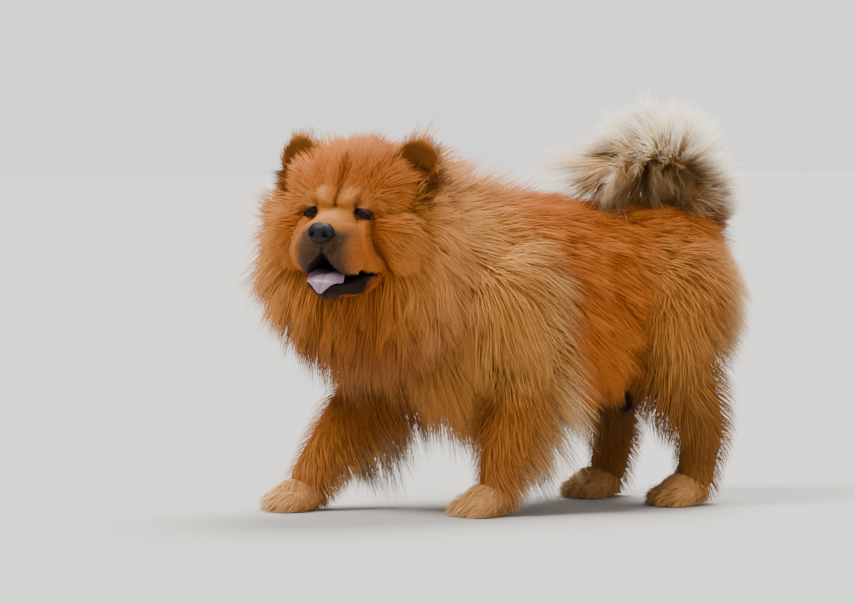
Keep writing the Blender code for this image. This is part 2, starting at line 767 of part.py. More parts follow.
def grows_head(place, normal):
    """The crown between and round the ears, the cheeks behind the face, and the throat."""
    local = head_matrix().inverted() @ Vector(place)
    crown = local.z > 0.070 and local.y > -0.075
    cheek = abs(local.x) > 0.082 and local.y > -0.060
    throat = local.z < -0.085 and local.y > -0.030
    return (crown or cheek or throat) and local.y < HEAD_BACK_Y - 0.004


def grows_fore_leg(place, normal):
    return place[2] > 0.085 and (normal[1] > -0.25 or place[2] > 0.17)


def grows_hind_leg(place, normal):
    return place[2] > 0.120 and (normal[1] > -0.25 or place[2] > 0.21)


COATS = {
    "neck": (grows_neck, lie_neck),
    "torso": (grows_torso, lie_torso),
    "tail": (grows_tail, lie_tail),
    "head": (grows_head, lie_head),
    "leg_fore_left": (grows_fore_leg, lie_leg),
    "leg_fore_right": (grows_fore_leg, lie_leg),
    "leg_hind_left": (grows_hind_leg, lie_leg),
    "leg_hind_right": (grows_hind_leg, lie_leg),
}


def root_places(obj, spacing, grows, draw):
    """Points spread evenly over the part of a surface where hair grows, with the surface's normals there."""
    mesh = obj.data
    mesh.calc_loop_triangles()
    corners = np.array([tri.vertices[:] for tri in mesh.loop_triangles])
    points = np.array([v.co[:] for v in mesh.vertices])
    normals = np.array([v.normal[:] for v in mesh.vertices])
    a, b, c = (points[corners[:, k]] for k in range(3))
    facing = np.cross(b - a, c - a)
    areas = np.linalg.norm(facing, axis=1)
    picks = draw.choice(len(corners), 9000, p=areas / areas.sum())
    r1, r2 = np.sqrt(draw.random(9000)), draw.random(9000)
    weights = np.stack([1 - r1, r1 * (1 - r2), r1 * r2], axis=1)[:, :, None]
    places = (points[corners[picks]] * weights).sum(1)
    turned = (normals[corners[picks]] * weights).sum(1) + facing[picks] / areas[picks][:, None]
    kept = np.empty((0, 3))
    found = []
    for place, normal in zip(places, turned):
        if len(kept) and np.linalg.norm(kept - place, axis=1).min() < spacing:
            continue
        normal = unit(normal)
        if grows(place, normal):
            kept = np.vstack([kept, place])
            found.append((place, normal))
    return found


def lock_shape(place, normal, lie, length, width, rise, tip_rise, droop, extra=0.0):
    """A flat tapered lock: three-sided rings along a path that leaves the skin, then bends to the lie of the coat."""
    inward = min(lie.dot(normal), 0.0)
    start = unit(unit(lie - normal * inward) + normal * rise)
    end = unit(lie - normal * inward * 0.5 + normal * tip_rise + np.array([0.0, 0.0, -droop]))
    steps = np.linspace(0, 1, 13)
    heading = start + (end - start) * steps[:, None]
    heading /= np.linalg.norm(heading, axis=1)[:, None]
    path = place + np.vstack([np.zeros(3), np.cumsum(heading[:-1] * length / 12, axis=0)])
    points = []
    for ring, (share, wide, high) in enumerate(zip(LOCK_RINGS, LOCK_WIDTHS, LOCK_HEIGHTS)):
        middle = np.array([np.interp(share, steps, path[:, k]) for k in range(3)])
        if ring == 0:
            middle = place - normal * ROOT_SINK
        along_it = unit(np.array([np.interp(share, steps, heading[:, k]) for k in range(3)]))
        up = normal - along_it * normal.dot(along_it)
        if np.linalg.norm(up) < 0.3:
            up = np.array([1.0, 0.0, 0.0]) - along_it * along_it[0]
        up = unit(up)
        across = np.cross(along_it, up)
        half = wide * width / 2 + extra * EDGE_CLEAR
        points.append(middle + across * half - up * extra)
        points.append(middle - across * half - up * extra)
        points.append(middle + up * (high * width + extra))
    points.append(path[-1] + heading[-1] * extra)
    faces = [(2, 1, 0)]
    last = 3 * (len(LOCK_RINGS) - 1)
    for first in range(0, last, 3):
        for k in range(3):
            a, b = first + k, first + (k + 1) % 3
            faces += [(a, b, b + 3), (a, b + 3, a + 3)]
    faces += [(last, last + 1, last + 3), (last + 1, last + 2, last + 3), (last + 2, last, last + 3)]
    return np.array(points), faces


def tree_of(obj):
    bm = bmesh.new()
    bm.from_mesh(obj.data)
    tree = BVHTree.FromBMesh(bm)
    bm.free()
    return tree


def lock_object(points, faces):
    mesh = bpy.data.meshes.new("lock")
    mesh.from_pydata(points.tolist(), [], faces)
    bm = bmesh.new()
    bm.from_mesh(mesh)
    bmesh.ops.recalc_face_normals(bm, faces=bm.faces)
    bm.to_mesh(mesh)
    bm.free()
    return bpy.data.objects.new("lock", mesh)


def clear_lock(place, normal, lie, sizes, obstacles):
    """The lock in its own lie if it is clear of the other nodes, or else shorter and standing further off, or nothing."""
    length, width, rise, tip_rise, droop = sizes
    for shrink, lift in LOCK_TRIES:
        sizes = (length * shrink, width * (0.4 + 0.6 * shrink), rise + lift, tip_rise + lift, droop * (1 - lift))
        points, faces = lock_shape(place, normal, lie, *sizes, extra=CLEAR)
        if points[:, 2].min() < FLOOR_CLEAR:
            continue
        tree = BVHTree.FromPolygons(points.tolist(), faces)
        if not any(tree.overlap(other) for other in obstacles):
            return lock_shape(place, normal, lie, *sizes), tree
    return None, None


def grow_coat(nodes):
    """Grows every node's locks clear of the other nodes and their locks, and fuses them to it."""
    draw = np.random.default_rng(LOCK_SEED)
    cores = {name: tree_of(node) for name, node in nodes.items()}
    grown_by = {name: [] for name in nodes}
    made = {}
    for name, (grows, lie_of) in COATS.items():
        spacing, length, width, rise, tip_rise, droop = LOCK_SETS[name]
        obstacles = [tree for other, tree in cores.items() if other != name]
        obstacles += [tree for other, trees in grown_by.items() if other != name for tree in trees]
        shapes = []
        for place, normal in root_places(nodes[name], spacing, grows, draw):
            lie, reach = lie_of(place, normal)
            lie = unit(lie + draw.normal(0, 0.09, 3))
            reach *= draw.uniform(0.84, 1.14)
            sizes = (length * reach, width * draw.uniform(0.85, 1.15), rise, tip_rise, droop)
            shape, tree = clear_lock(place, normal, lie, sizes, obstacles)
            if shape:
                shapes.append(shape)
                grown_by[name].append(tree)
        made[name] = shapes
    for name, shapes in made.items():
        locks = bpy.data.collections.new("locks")
        bpy.context.scene.collection.children.link(locks)
        for points, faces in shapes:
            locks.objects.link(lock_object(points, faces))
        join = nodes[name].modifiers.new("locks", "BOOLEAN")
        join.operation = "UNION"
        join.operand_type = "COLLECTION"
        join.collection = locks
        join.solver = "MANIFOLD"
        applied(nodes[name])
        remove(*locks.objects)
        bpy.data.collections.remove(locks)
        keep_largest(nodes[name])


def leg_box(leg):
    """The cut between a leg and the trunk: a box whose top rises outward from the groin or the armpit."""
    kind, word = leg.split("_")
    side = 1 if word == "left" else -1
    rows = np.array(LEG_ROWS[leg])
    inner, height, slope = LEG_CUTS[kind]
    middle = rows[:4, 1].mean()
    back, front = (0.17, 0.30) if kind == "fore" else (0.24, 0.125)
    turn = Matrix.Rotation(-side * slope, 4, "Y")
    place = Matrix.Translation((side * inner, middle, height)) @ turn
    low_x, high_x = sorted((-side * 0.07, side * 0.30))
    return (low_x, -front, -0.4), (high_x, back, 0.0), place


def build():
    clear_scene()
    nodes, head_seat = head_nodes()
    for part in [*nodes.values(), head_seat]:
        part.data.transform(head_matrix())
    whole = trunk_whole(CORE_SHARE)
    boolean(whole, head_seat, "DIFFERENCE")
    for word in ("left", "right"):
        boolean(whole, grown(nodes[f"ear_{word}"], "ear_seat", GAP), "DIFFERENCE")
    for leg in LEG_ROWS:
        low, high = paw_box(leg)
        below, above = Vector((0, 0, 0.01)), Vector((0, 0, GAP))
        boolean(whole, box_cutter(low - below, high + above), "DIFFERENCE")
        nodes[f"paw_{leg}"] = paw_object(leg)
    for leg in LEG_ROWS:
        nodes[f"leg_{leg}"] = split_off(whole, f"leg_{leg}", *leg_box(leg))
    nodes["tail"] = split_off(whole, "tail", (-0.25, 0.0, TAIL_CUT), (0.25, 0.45, 0.80))
    place = Matrix.Translation(NECK_CUT) @ Matrix.Rotation(NECK_CUT_LEAN, 4, "X")
    nodes["neck"] = split_off(whole, "neck", (-0.4, -0.5, -0.3), (0.4, 0.0, 0.3), place)
    nodes["torso"] = keep_largest(whole)
    whole.name = "torso"
    grow_coat(nodes)
    for name, node in nodes.items():
        node.data.materials.clear()
        node.data.materials.append(material(NODE_MATERIALS.get(name, "coat_orange")))
        node.data.shade_smooth()
    stand(nodes)


def stand(nodes):
    """Moves everything so that the middle of the base of the whole box is the origin."""
    points = np.array([v.co for node in nodes.values() for v in node.data.vertices])
    low, high = points.min(0), points.max(0)
    shift = Vector((-(low[0] + high[0]) / 2, -(low[1] + high[1]) / 2, -low[2]))
    for node in nodes.values():
        node.data.transform(Matrix.Translation(shift))


build()
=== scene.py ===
"""A life-size chow chow walking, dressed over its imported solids: one skin, a coat of tapered tufts, eyes, lids, nose,
tongue and claws, on a pale floor in soft light.

All shapes are worked out in the dog's own axes: it faces -y with its left side at +x and its soles at z = 0. The
head has axes of its own, turned to the dog's left. Every mesh is moved into the frame as it is made.
"""

from math import cos, radians, sin

import bpy
import numpy as np
from mathutils import Matrix, Vector


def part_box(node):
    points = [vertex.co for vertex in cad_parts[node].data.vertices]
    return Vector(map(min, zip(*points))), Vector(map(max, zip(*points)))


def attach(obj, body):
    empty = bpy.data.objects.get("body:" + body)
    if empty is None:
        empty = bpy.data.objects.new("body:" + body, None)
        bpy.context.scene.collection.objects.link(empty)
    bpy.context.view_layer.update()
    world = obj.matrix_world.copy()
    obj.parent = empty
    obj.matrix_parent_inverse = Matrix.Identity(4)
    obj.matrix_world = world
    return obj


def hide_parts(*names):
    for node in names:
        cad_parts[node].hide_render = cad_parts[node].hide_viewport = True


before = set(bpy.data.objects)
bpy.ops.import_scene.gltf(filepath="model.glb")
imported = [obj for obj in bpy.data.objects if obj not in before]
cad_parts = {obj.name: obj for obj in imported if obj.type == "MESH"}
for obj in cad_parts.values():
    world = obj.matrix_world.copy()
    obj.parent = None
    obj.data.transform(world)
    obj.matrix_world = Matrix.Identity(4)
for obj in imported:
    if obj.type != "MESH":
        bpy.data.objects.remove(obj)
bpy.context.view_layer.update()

bl_info = {
    "name": "Chow chow",
    "version": (1, 0, 0),
    "blender": (4, 5, 0),
    "location": "3D View > Sidebar > Chow",
    "description": "Skin, coat, face and stage of a life-size walking chow chow",
    "category": "Object",
}

# Where the head sits on the body, and how it is turned. The left eye's middle in the head's axes, how far both eyes are
# sunk, and how steeply their lids slant down outwards.
HEAD_AT = np.array((0.012, -0.369, 0.500))
HEAD_TURN = Matrix.Rotation(radians(39.0), 3, "Z") @ Matrix.Rotation(radians(2.0), 3, "Y")
HEAD_AXES = np.array(HEAD_TURN)
EYE_AT = np.array((0.047, -0.084, 0.009))
EYE_SUNK = np.array((0.0, 0.0015, 0.0))
EYE_SLANT = radians(-34.0)

# Trunk stations: y, height of the middle, half width, half height, coat depth.
TRUNK_RING = 0.050
TRUNK = (
    (-0.205, 0.365, 0.078, 0.110, 0.070),
    (-0.165, 0.360, 0.104, 0.140, 0.068),
    (-0.090, 0.358, 0.120, 0.156, 0.056),
    (0.000, 0.364, 0.120, 0.150, 0.045),
    (0.095, 0.374, 0.110, 0.136, 0.040),
    (0.190, 0.384, 0.114, 0.130, 0.036),
    (0.248, 0.384, 0.106, 0.116, 0.040),
    (0.280, 0.376, 0.080, 0.090, 0.044),
)

# Neck, legs and tail stations: x, y, z, radius, coat depth.
NECK = (
    (0.000, -0.150, 0.385, 0.105, 0.060),
    (0.000, -0.210, 0.412, 0.110, 0.055),
    (0.004, -0.265, 0.436, 0.106, 0.048),
    (0.008, -0.305, 0.452, 0.094, 0.038),
)
FORE_LEFT = (
    (0.084, -0.150, 0.370, 0.070, 0.040),
    (0.098, -0.122, 0.300, 0.060, 0.040),
    (0.110, -0.108, 0.238, 0.053, 0.030),
    (0.116, -0.132, 0.165, 0.045, 0.021),
    (0.119, -0.150, 0.100, 0.038, 0.015),
    (0.120, -0.158, 0.055, 0.034, 0.012),
)
FORE_RIGHT = (
    (-0.084, -0.175, 0.370, 0.070, 0.040),
    (-0.098, -0.210, 0.300, 0.060, 0.040),
    (-0.108, -0.250, 0.235, 0.054, 0.030),
    (-0.114, -0.310, 0.165, 0.046, 0.021),
    (-0.118, -0.360, 0.100, 0.038, 0.015),
    (-0.120, -0.392, 0.055, 0.034, 0.012),
)
HIND = (
    (0.074, 0.215, 0.370, 0.080, 0.036),
    (0.092, 0.205, 0.310, 0.074, 0.038),
    (0.102, 0.200, 0.245, 0.061, 0.029),
    (0.106, 0.228, 0.180, 0.047, 0.021),
    (0.106, 0.250, 0.130, 0.037, 0.014),
    (0.106, 0.244, 0.085, 0.033, 0.012),
    (0.106, 0.238, 0.050, 0.032, 0.011),
)
HIND_STRIDE = -0.048
TAIL = (
    (0.000, 0.262, 0.470, 0.030, 0.030),
    (0.000, 0.290, 0.520, 0.026, 0.050),
    (0.003, 0.292, 0.565, 0.023, 0.060),
    (0.006, 0.262, 0.598, 0.021, 0.060),
    (0.008, 0.215, 0.606, 0.019, 0.056),
    (0.010, 0.165, 0.592, 0.016, 0.050),
    (0.010, 0.125, 0.576, 0.012, 0.040),
)
PLUME_FROM = np.array((0.004, 0.205, 0.505))
# Strands of the plume by their root's y: the way they point, in degrees up from straight back, their length, and how
# far they rise from the skin as a share of it.
PLUME_Y = (0.120, 0.165, 0.190, 0.215, 0.240, 0.265, 0.285, 0.310)
PLUME_WAY = (206, 199, 168, 130, 102, 76, 46, -12)
PLUME_LONG = (0.128, 0.112, 0.098, 0.090, 0.092, 0.084, 0.072, 0.066)
PLUME_RISE = (0.16, 0.17, 0.22, 0.27, 0.28, 0.28, 0.28, 0.28)

# The sheath under the belly: centre and radii, and the radii of the place round it where the coat is shorter.
SHEATH = ((0.000, 0.164, 0.189), (0.018, 0.031, 0.037))
SHEATH_BARE = (0.060, 0.070, 0.060)
SHEATH_COAT = 0.004

# The mane stands round the back of the head as a flattened ball, in the head's axes: centre, radii, the size that turns
# a share of its radii into metres, and the depth of its coat.
RUFF_AT = (0.000, 0.032, -0.046)
RUFF_RADII = (0.147, 0.050, 0.146)
RUFF_SCALE = 0.09
RUFF_COAT = 0.070

# Paws: radii of a pad and of a toe, the middle's height and its way ahead of the leg, and each toe's place across and
# ahead of it.
PAW_PAD = (0.036, 0.044, 0.032)
PAW_HEIGHT = 0.030
PAW_FRONT = 0.020
TOE = (0.0135, 0.024, 0.020)
TOE_SPREAD = (-0.033, -0.0115, 0.0115, 0.033)
TOE_REACH = (0.026, 0.036, 0.036, 0.026)

# Head masses in the head's axes: centre and radii, those off the middle mirrored.
HEAD_MASSES = {
    "skull": ((0.000, 0.005, 0.022), (0.099, 0.108, 0.092)),
    "temple": ((0.055, -0.030, 0.030), (0.045, 0.062, 0.062)),
    "cheek": ((0.066, -0.030, -0.030), (0.056, 0.070, 0.066)),
    "throat": ((0.000, 0.010, -0.060), (0.092, 0.064, 0.066)),
    "bridge": ((0.000, -0.092, -0.014), (0.036, 0.050, 0.026)),
    "muzzle": ((0.000, -0.104, -0.036), (0.053, 0.050, 0.038)),
    "flew": ((0.030, -0.112, -0.055), (0.028, 0.040, 0.036)),
    "cheek_pad": ((0.060, -0.074, -0.040), (0.032, 0.044, 0.045)),
    "brow": ((0.022, -0.089, 0.038), (0.018, 0.013, 0.016)),
    "outer_brow": ((0.056, -0.073, 0.034), (0.026, 0.020, 0.017)),
    "jaw_side": ((0.030, -0.072, -0.108), (0.018, 0.052, 0.020)),
    "chin": ((0.000, -0.112, -0.118), (0.030, 0.022, 0.017)),
    "jaw_floor": ((0.000, -0.070, -0.114), (0.036, 0.056, 0.016)),
    "jaw_root": ((0.000, -0.046, -0.090), (0.046, 0.046, 0.034)),
    "jowl": ((0.044, -0.034, -0.080), (0.032, 0.040, 0.034)),
}

# Nose leather: centre and radii.
NOSE_AT = np.array((0.000, -0.150, -0.022))
NOSE_RADII = (0.0225, 0.0170, 0.0175)

# Ears: the left one's root, its half width, height, thickness and cup, how far its shell runs on into the head, and how
# far it leans out and turns.
EAR_AT = (0.099, -0.014, 0.069)
EAR_SIZE = (0.046, 0.071, 0.015, 0.016)
EAR_ROOT = 0.042
EAR_LEAN = radians(17.0)
EAR_TURN = radians(14.0)

# Mouth: y and z of the hinge, slope of the lower lip's line, half width between the jaws, height of the top of the arch
# between the flews and the y of its ends, and centre and radii of the trough behind the lower lip.
HINGE = (-0.046, -0.087)
FLOOR_SLOPE = -0.232
MOUTH_HALF = 0.064
ARCH_TOP = -0.0570
ARCH_Y = (-0.070, -0.200)
TROUGH = ((0.000, -0.082, -0.100), (0.024, 0.040, 0.010))

# Eyes: radii of the mound round each, and half width and half height of the slit in the skin, of the lids' inner edge
# and of their outer edge.
EYE_MOUND = (0.0172, 0.0148, 0.0150)
SKIN_SLIT = (0.0112, 0.0028)
LID_SLIT = (0.0098, 0.0021)
LID_OUTER = (0.0158, 0.0088)

# Tongue: y, z, half width and thickness along its middle.
TONGUE = (
    (-0.050, -0.0840, 0.016, 0.0060),
    (-0.080, -0.0855, 0.022, 0.0065),
    (-0.108, -0.0880, 0.028, 0.0065),
    (-0.130, -0.0925, 0.033, 0.0060),
    (-0.1420, -0.1000, 0.029, 0.0050),
    (-0.1460, -0.1075, 0.018, 0.0042),
    (-0.1475, -0.1150, 0.010, 0.0036),
    (-0.1480, -0.1215, 0.003, 0.0030),
)

# The crease that runs down from the eye round the cheek pad: height, and distance from the middle of the face.
CREASE_Z = (-0.130, -0.104, -0.079, -0.0625, -0.0345, 0.003, 0.030, 0.055, 0.075)
CREASE_X = (0.046, 0.062, 0.078, 0.0790, 0.0700, 0.060, 0.056, 0.046, 0.020)

# The parts that a point of the skin can belong to, each a column of its shares, and the columns' numbers.
PARTS = ("trunk", "neck", "ruff", "tail", "fore", "hind", "paw", "head", "ear")
PART = {name: number for number, name in enumerate(PARTS)}

# How many points are worked on at once where each is set against many others, to spare memory.
SKIN_BLOCK = 20000
ROOT_BLOCK = 4000

# The photograph: its width and its middle in pixels, pixels for each metre at the dog, the pixel of the point over the
# body's origin at the camera's height, and that height. The camera's way round from straight ahead to the dog's left.
PHOTO_WIDTH = 855.0
PHOTO_MIDDLE = (427.5, 302.0)
PIXELS = 581.0
AXIS_PIXEL = (545.6, 128.0)
EYE_LEVEL = 0.65
SENSOR = 36.0
VIEW_TURN = radians(60.0)

# Lights: the way to each as shares towards the camera, to its right and up, its strength as a share of the key light's,
# its spread in degrees and its colour.
LIGHTS = {
    "key": ((1.3, -2.0, 3.6), 1.0, 22.0, (1.0, 0.96, 0.90)),
    "top": ((-1.0, 0.5, 2.2), 1.45, 34.0, (1.0, 0.97, 0.92)),
    "fill": ((3.0, 2.6, 1.4), 0.20, 60.0, (1.0, 0.98, 0.95)),
}


# ------- numbers
def along(rows, count):
    """Catmull-Rom curve at even steps of the row number: each column is a cubic of the four rows round the place."""
    rows = np.array(rows, float)
    ends = np.vstack([2 * rows[0] - rows[1], rows, 2 * rows[-1] - rows[-2]])
    place = np.linspace(0, len(rows) - 1, count)
    index = np.minimum(place.astype(int), len(rows) - 2)
    t = (place - index)[:, None]
    before, start, end, after = (ends[index + k] for k in range(4))
    cubic = (3 * start - before - 3 * end + after) * t**3
    square = (2 * before - 5 * start + 4 * end - after) * t**2
    return 0.5 * (2 * start + (end - before) * t + square + cubic)


def ease(low, high, value):
    """3t^2 - 2t^3, where t is the value's place between low and high, held between 0 and 1."""
    t = np.clip((value - low) / (high - low), 0.0, 1.0)
    return t * t * (3 - 2 * t)


def bump(distance, width):
    """The bell curve exp(-(distance / width)^2)."""
    return np.exp(-((distance / width) ** 2))


def unit(vectors):
    """Each vector divided by its length."""
    return vectors / np.maximum(np.linalg.norm(vectors, axis=-1, keepdims=True), 1e-9)


def dot(a, b):
    return (a * b).sum(-1, keepdims=True)


def signed_power(value, power):
    """|value|^power with the value's own sign."""
    return np.sign(value) * np.abs(value) ** power


def reach(points, centre, radii):
    """Each point's distance from the middle of an ellipsoid as a share of its radii, 1 on its surface."""
    return np.linalg.norm((points - np.array(centre)) / np.array(radii), axis=1)


def slanted(x, z):
    """Places across an eye and up it, turned by the slant of the lids."""
    return np.stack([x * cos(EYE_SLANT) - z * sin(EYE_SLANT), x * sin(EYE_SLANT) + z * cos(EYE_SLANT)], -1)


def to_head(points):
    """Body axes to head axes: the head's place taken off, then turned back."""
    return (points - HEAD_AT) @ HEAD_AXES


def from_head(points):
    return points @ HEAD_AXES.T + HEAD_AT


def frame_shift():
    """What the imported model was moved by: the middle of its two eyes less where this file puts it."""
    boxes = [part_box(name) for name in ("eye_left", "eye_right")]
    found = np.mean([(np.array(low) + np.array(high)) / 2 for low, high in boxes], axis=0)
    eyes = from_head(np.array([EYE_AT, EYE_AT * (-1, 1, 1)]))
    shift = found - eyes.mean(0)
    shift[2] = 0.0
    return shift


SHIFT = frame_shift()


# ------- meshes
def put_mesh(name, points, faces, shift=True):
    """A mesh object from points and faces of equal size, in one block each."""
    mesh = bpy.data.meshes.new(name)
    points = points + SHIFT if shift else points
    mesh.vertices.add(len(points))
    mesh.vertices.foreach_set("co", np.ascontiguousarray(points, np.float32).ravel())
    sides = faces.shape[1]
    mesh.loops.add(faces.size)
    mesh.loops.foreach_set("vertex_index", np.ascontiguousarray(faces, np.int32).ravel())
    mesh.polygons.add(len(faces))
    mesh.polygons.foreach_set("loop_start", np.arange(0, faces.size, sides, dtype=np.int32))
    mesh.update(calc_edges=True)
    mesh.shade_smooth()
    obj = bpy.data.objects.new(name, mesh)
    bpy.context.scene.collection.objects.link(obj)
    return obj


def grid_faces(rows, columns, closed=False):
    """Quads of a grid of points stored row by row. A closed grid joins its last column to its first."""
    index = np.arange(rows * columns).reshape(rows, columns)
    if closed:
        index = np.hstack([index, index[:, :1]])
    corners = [index[:-1, :-1], index[:-1, 1:], index[1:, 1:], index[1:, :-1]]
    return np.stack(corners, -1).reshape(-1, 4)


def tube_faces(rings, columns):
    """Quads of a closed grid of rings, and a fan at each end, to two points stored after the grid."""
    k = np.arange(columns)
    after, last = (k + 1) % columns, (rings - 1) * columns
    hub = np.full(columns, rings * columns)
    first_fan = np.stack([k, after, hub, hub], 1)
    last_fan = np.stack([after + last, k + last, hub + 1, hub + 1], 1)
    return np.vstack([grid_faces(rings, columns, closed=True), first_fan, last_fan])


def globe_triangles(rings, columns):
    """Triangles of a closed grid of rings, and a fan at each end, to two points stored after the grid."""
    faces = grid_faces(rings, columns, closed=True)
    k = np.arange(columns)
    after, last = (k + 1) % columns, (rings - 1) * columns
    front = np.stack([after, k, np.full(columns, rings * columns)], 1)
    back = np.stack([last + k, last + after, np.full(columns, rings * columns + 1)], 1)
    return np.vstack([faces[:, [0, 1, 2]], faces[:, [0, 2, 3]], front, back])


def blade_faces(rows, columns):
    """Quads of a front sheet and a back sheet stored as one row, joined at both edges and closed at both ends."""
    count = 2 * columns
    caps = np.array([(k, k + 1, count - 2 - k, count - 1 - k) for k in range(columns - 1)])
    return np.vstack([grid_faces(rows, count, closed=True), caps, (rows - 1) * count + caps[:, ::-1]])


def balls(centres, radii, across=26, down=15):
    """Ellipsoids: centre + radii * (cos v cos u, cos v sin u, sin v), with u round it and v from pole to pole."""
    centres, radii = np.atleast_2d(centres), np.atleast_2d(radii)
    u, v = np.meshgrid(np.arange(across) * 2 * np.pi / across, np.linspace(-np.pi / 2, np.pi / 2, down))
    sphere = np.stack([np.cos(v) * np.cos(u), np.cos(v) * np.sin(u), np.sin(v)], -1).reshape(-1, 3)
    points = centres[:, None] + radii[:, None] * sphere
    faces = grid_faces(down, across, closed=True)
    offsets = np.arange(len(centres))[:, None, None] * len(sphere)
    return points.reshape(-1, 3), (faces + offsets).reshape(-1, 4)


def joined(*shells):
    """Several (points, faces) as one."""
    offset, points, faces = 0, [], []
    for some, quads in shells:
        points.append(some)
        faces.append(quads + offset)
        offset += len(some)
    return np.vstack(points), np.vstack(faces)


def arrays_of(obj):
    """The evaluated mesh of an object as points and triangles, and the object removed."""
    evaluated = obj.evaluated_get(bpy.context.evaluated_depsgraph_get())
    mesh = evaluated.to_mesh()
    mesh.calc_loop_triangles()
    points = np.empty(len(mesh.vertices) * 3, np.float32)
    mesh.vertices.foreach_get("co", points)
    triangles = np.empty(len(mesh.loop_triangles) * 3, np.int32)
    mesh.loop_triangles.foreach_get("vertices", triangles)
    evaluated.to_mesh_clear()
    bpy.data.objects.remove(obj)
    return points.reshape(-1, 3).astype(float), triangles.reshape(-1, 3)


def fused(shell, voxel, smoothing, cutters=()):
    """One surface round all the shells, less the cutters, by a voxel remesh and a smoothing."""
    obj = put_mesh("fused", *shell, shift=False)
    helpers = []
    for cutter in cutters:
        helper = put_mesh("cutter", *cutter, shift=False)
        again = helper.modifiers.new("close", "REMESH")
        again.voxel_size = voxel * 0.7
        helpers.append(helper)
    first = obj.modifiers.new("fuse", "REMESH")
    first.voxel_size = voxel
    soften = obj.modifiers.new("soften", "SMOOTH")
    soften.iterations = smoothing
    for helper in helpers:
        cut = obj.modifiers.new("cut", "BOOLEAN")
        cut.operation = "DIFFERENCE"
        cut.solver = "MANIFOLD"
        cut.object = helper
    if helpers:
        again = obj.modifiers.new("round", "REMESH")
        again.voxel_size = voxel
        soften = obj.modifiers.new("round_off", "SMOOTH")
        soften.iterations = 3
    result = arrays_of(obj)
    for helper in helpers:
        bpy.data.objects.remove(helper)
    return result


def point_normals(points, triangles):
    """Each point's normal: the sum of its triangles' normals, each as long as twice the triangle's area."""
    a, b, c = (points[triangles[:, k]] for k in range(3))
    facing = np.cross(b - a, c - a)
    normals = np.zeros_like(points)
    for k in range(3):
        for axis in range(3):
            normals[:, axis] += np.bincount(triangles[:, k], facing[:, axis], len(points))
    return unit(normals)


def set_values(mesh, name, values):
    """A float for each point of the mesh, for its material."""
    attribute = mesh.attributes.new(name, "FLOAT", "POINT")
    attribute.data.foreach_set("value", np.ascontiguousarray(values, np.float32))


# ------- body plan
def body_balls():
    """The balls that flesh is fused from: centres, radii, coat depths and part numbers."""
    rows = [[(0, y, z, w, TRUNK_RING, h, coat, PART["trunk"]) for y, z, w, h, coat in along(TRUNK, 46)]]
    hind_right = [(-x, y + HIND_STRIDE, *rest) for x, y, *rest in HIND]
    limbs = (
        (NECK, 16, "neck"),
        (TAIL, 40, "tail"),
        (FORE_LEFT, 34, "fore"),
        (FORE_RIGHT, 34, "fore"),
        (HIND, 36, "hind"),
        (hind_right, 36, "hind"),
    )
    for stations, count, part in limbs:
        rows.append([(x, y, z, r, r, r, coat, PART[part]) for x, y, z, r, coat in along(stations, count)])
    rows.append([(*SHEATH[0], *SHEATH[1], SHEATH_COAT, PART["trunk"])])
    table = np.vstack([np.array(row, float) for row in rows])
    return table[:, :3], table[:, 3:6], table[:, 6], table[:, 7].astype(int)


def paw_places():
    """The middle of each paw on the floor: fore left, fore right, hind left, hind right."""
    ends = [FORE_LEFT[-1], FORE_RIGHT[-1], HIND[-1]]
    places = [(row[0], row[1] - PAW_FRONT) for row in ends]
    return np.array([*places, (-HIND[-1][0], HIND[-1][1] + HIND_STRIDE - PAW_FRONT)])


def both_sides(centre, radii):
    """A ball of the head, and its mirror where it stands off the middle."""
    sides = (1,) if centre[0] == 0 else (1, -1)
    return [((side * centre[0], *centre[1:]), radii) for side in sides]


def head_balls():
    pairs = [pair for centre, radii in HEAD_MASSES.values() for pair in both_sides(centre, radii)]
    return np.array([p[0] for p in pairs]), np.array([p[1] for p in pairs])


def ear_axes(side):
    """An ear's own axes as a matrix, and the place of its root."""
    lean = Matrix.Rotation(side * EAR_LEAN, 3, "Y") @ Matrix.Rotation(side * EAR_TURN, 3, "Z")
    return np.array(lean), np.array((side * EAR_AT[0], EAR_AT[1], EAR_AT[2]))


def ear_shell(side):
    """A cupped rounded triangle: half width W(1 - v^2.6)^0.62 at height v, front and back sheets joined at the rim."""
    width, height, thick, cup = EAR_SIZE
    v, u = np.meshgrid(np.linspace(-EAR_ROOT / height, 0.985, 24), np.linspace(-1, 1, 17), indexing="ij")
    high = np.clip(v, 0, 1)
    half = (width - 0.003) * np.maximum((1 - high**2.6) ** 0.62, 0.10)
    edge = (1 - u * u) * (1 - 0.6 * high)
    deep = (thick - 0.006) * (1 - 0.45 * high)
    bowl = 0.008 * high + cup * edge
    back = np.stack([side * half * u, bowl + deep * 0.5, (height - 0.004) * v], -1)
    front = np.stack([side * half * u, bowl - deep * 0.5 * np.sqrt(edge), (height - 0.004) * v], -1)
    ring = np.concatenate([back, front[:, ::-1]], axis=1).reshape(-1, 3)
    lean, place = ear_axes(side)
    return ring @ lean.T + place, blade_faces(*u.shape)


def ear_place(local, side):
    """Points in an ear's own axes: across, behind, and height over its root, each as a share of the ear's size."""
    lean, place = ear_axes(side)
    return (local - place) @ lean / np.array((EAR_SIZE[0], 0.02, EAR_SIZE[1]))


def ear_height(local):
    """Height over the root of whichever ear a point stands higher on."""
    return np.maximum(ear_place(local, 1)[:, 2], ear_place(local, -1)[:, 2])


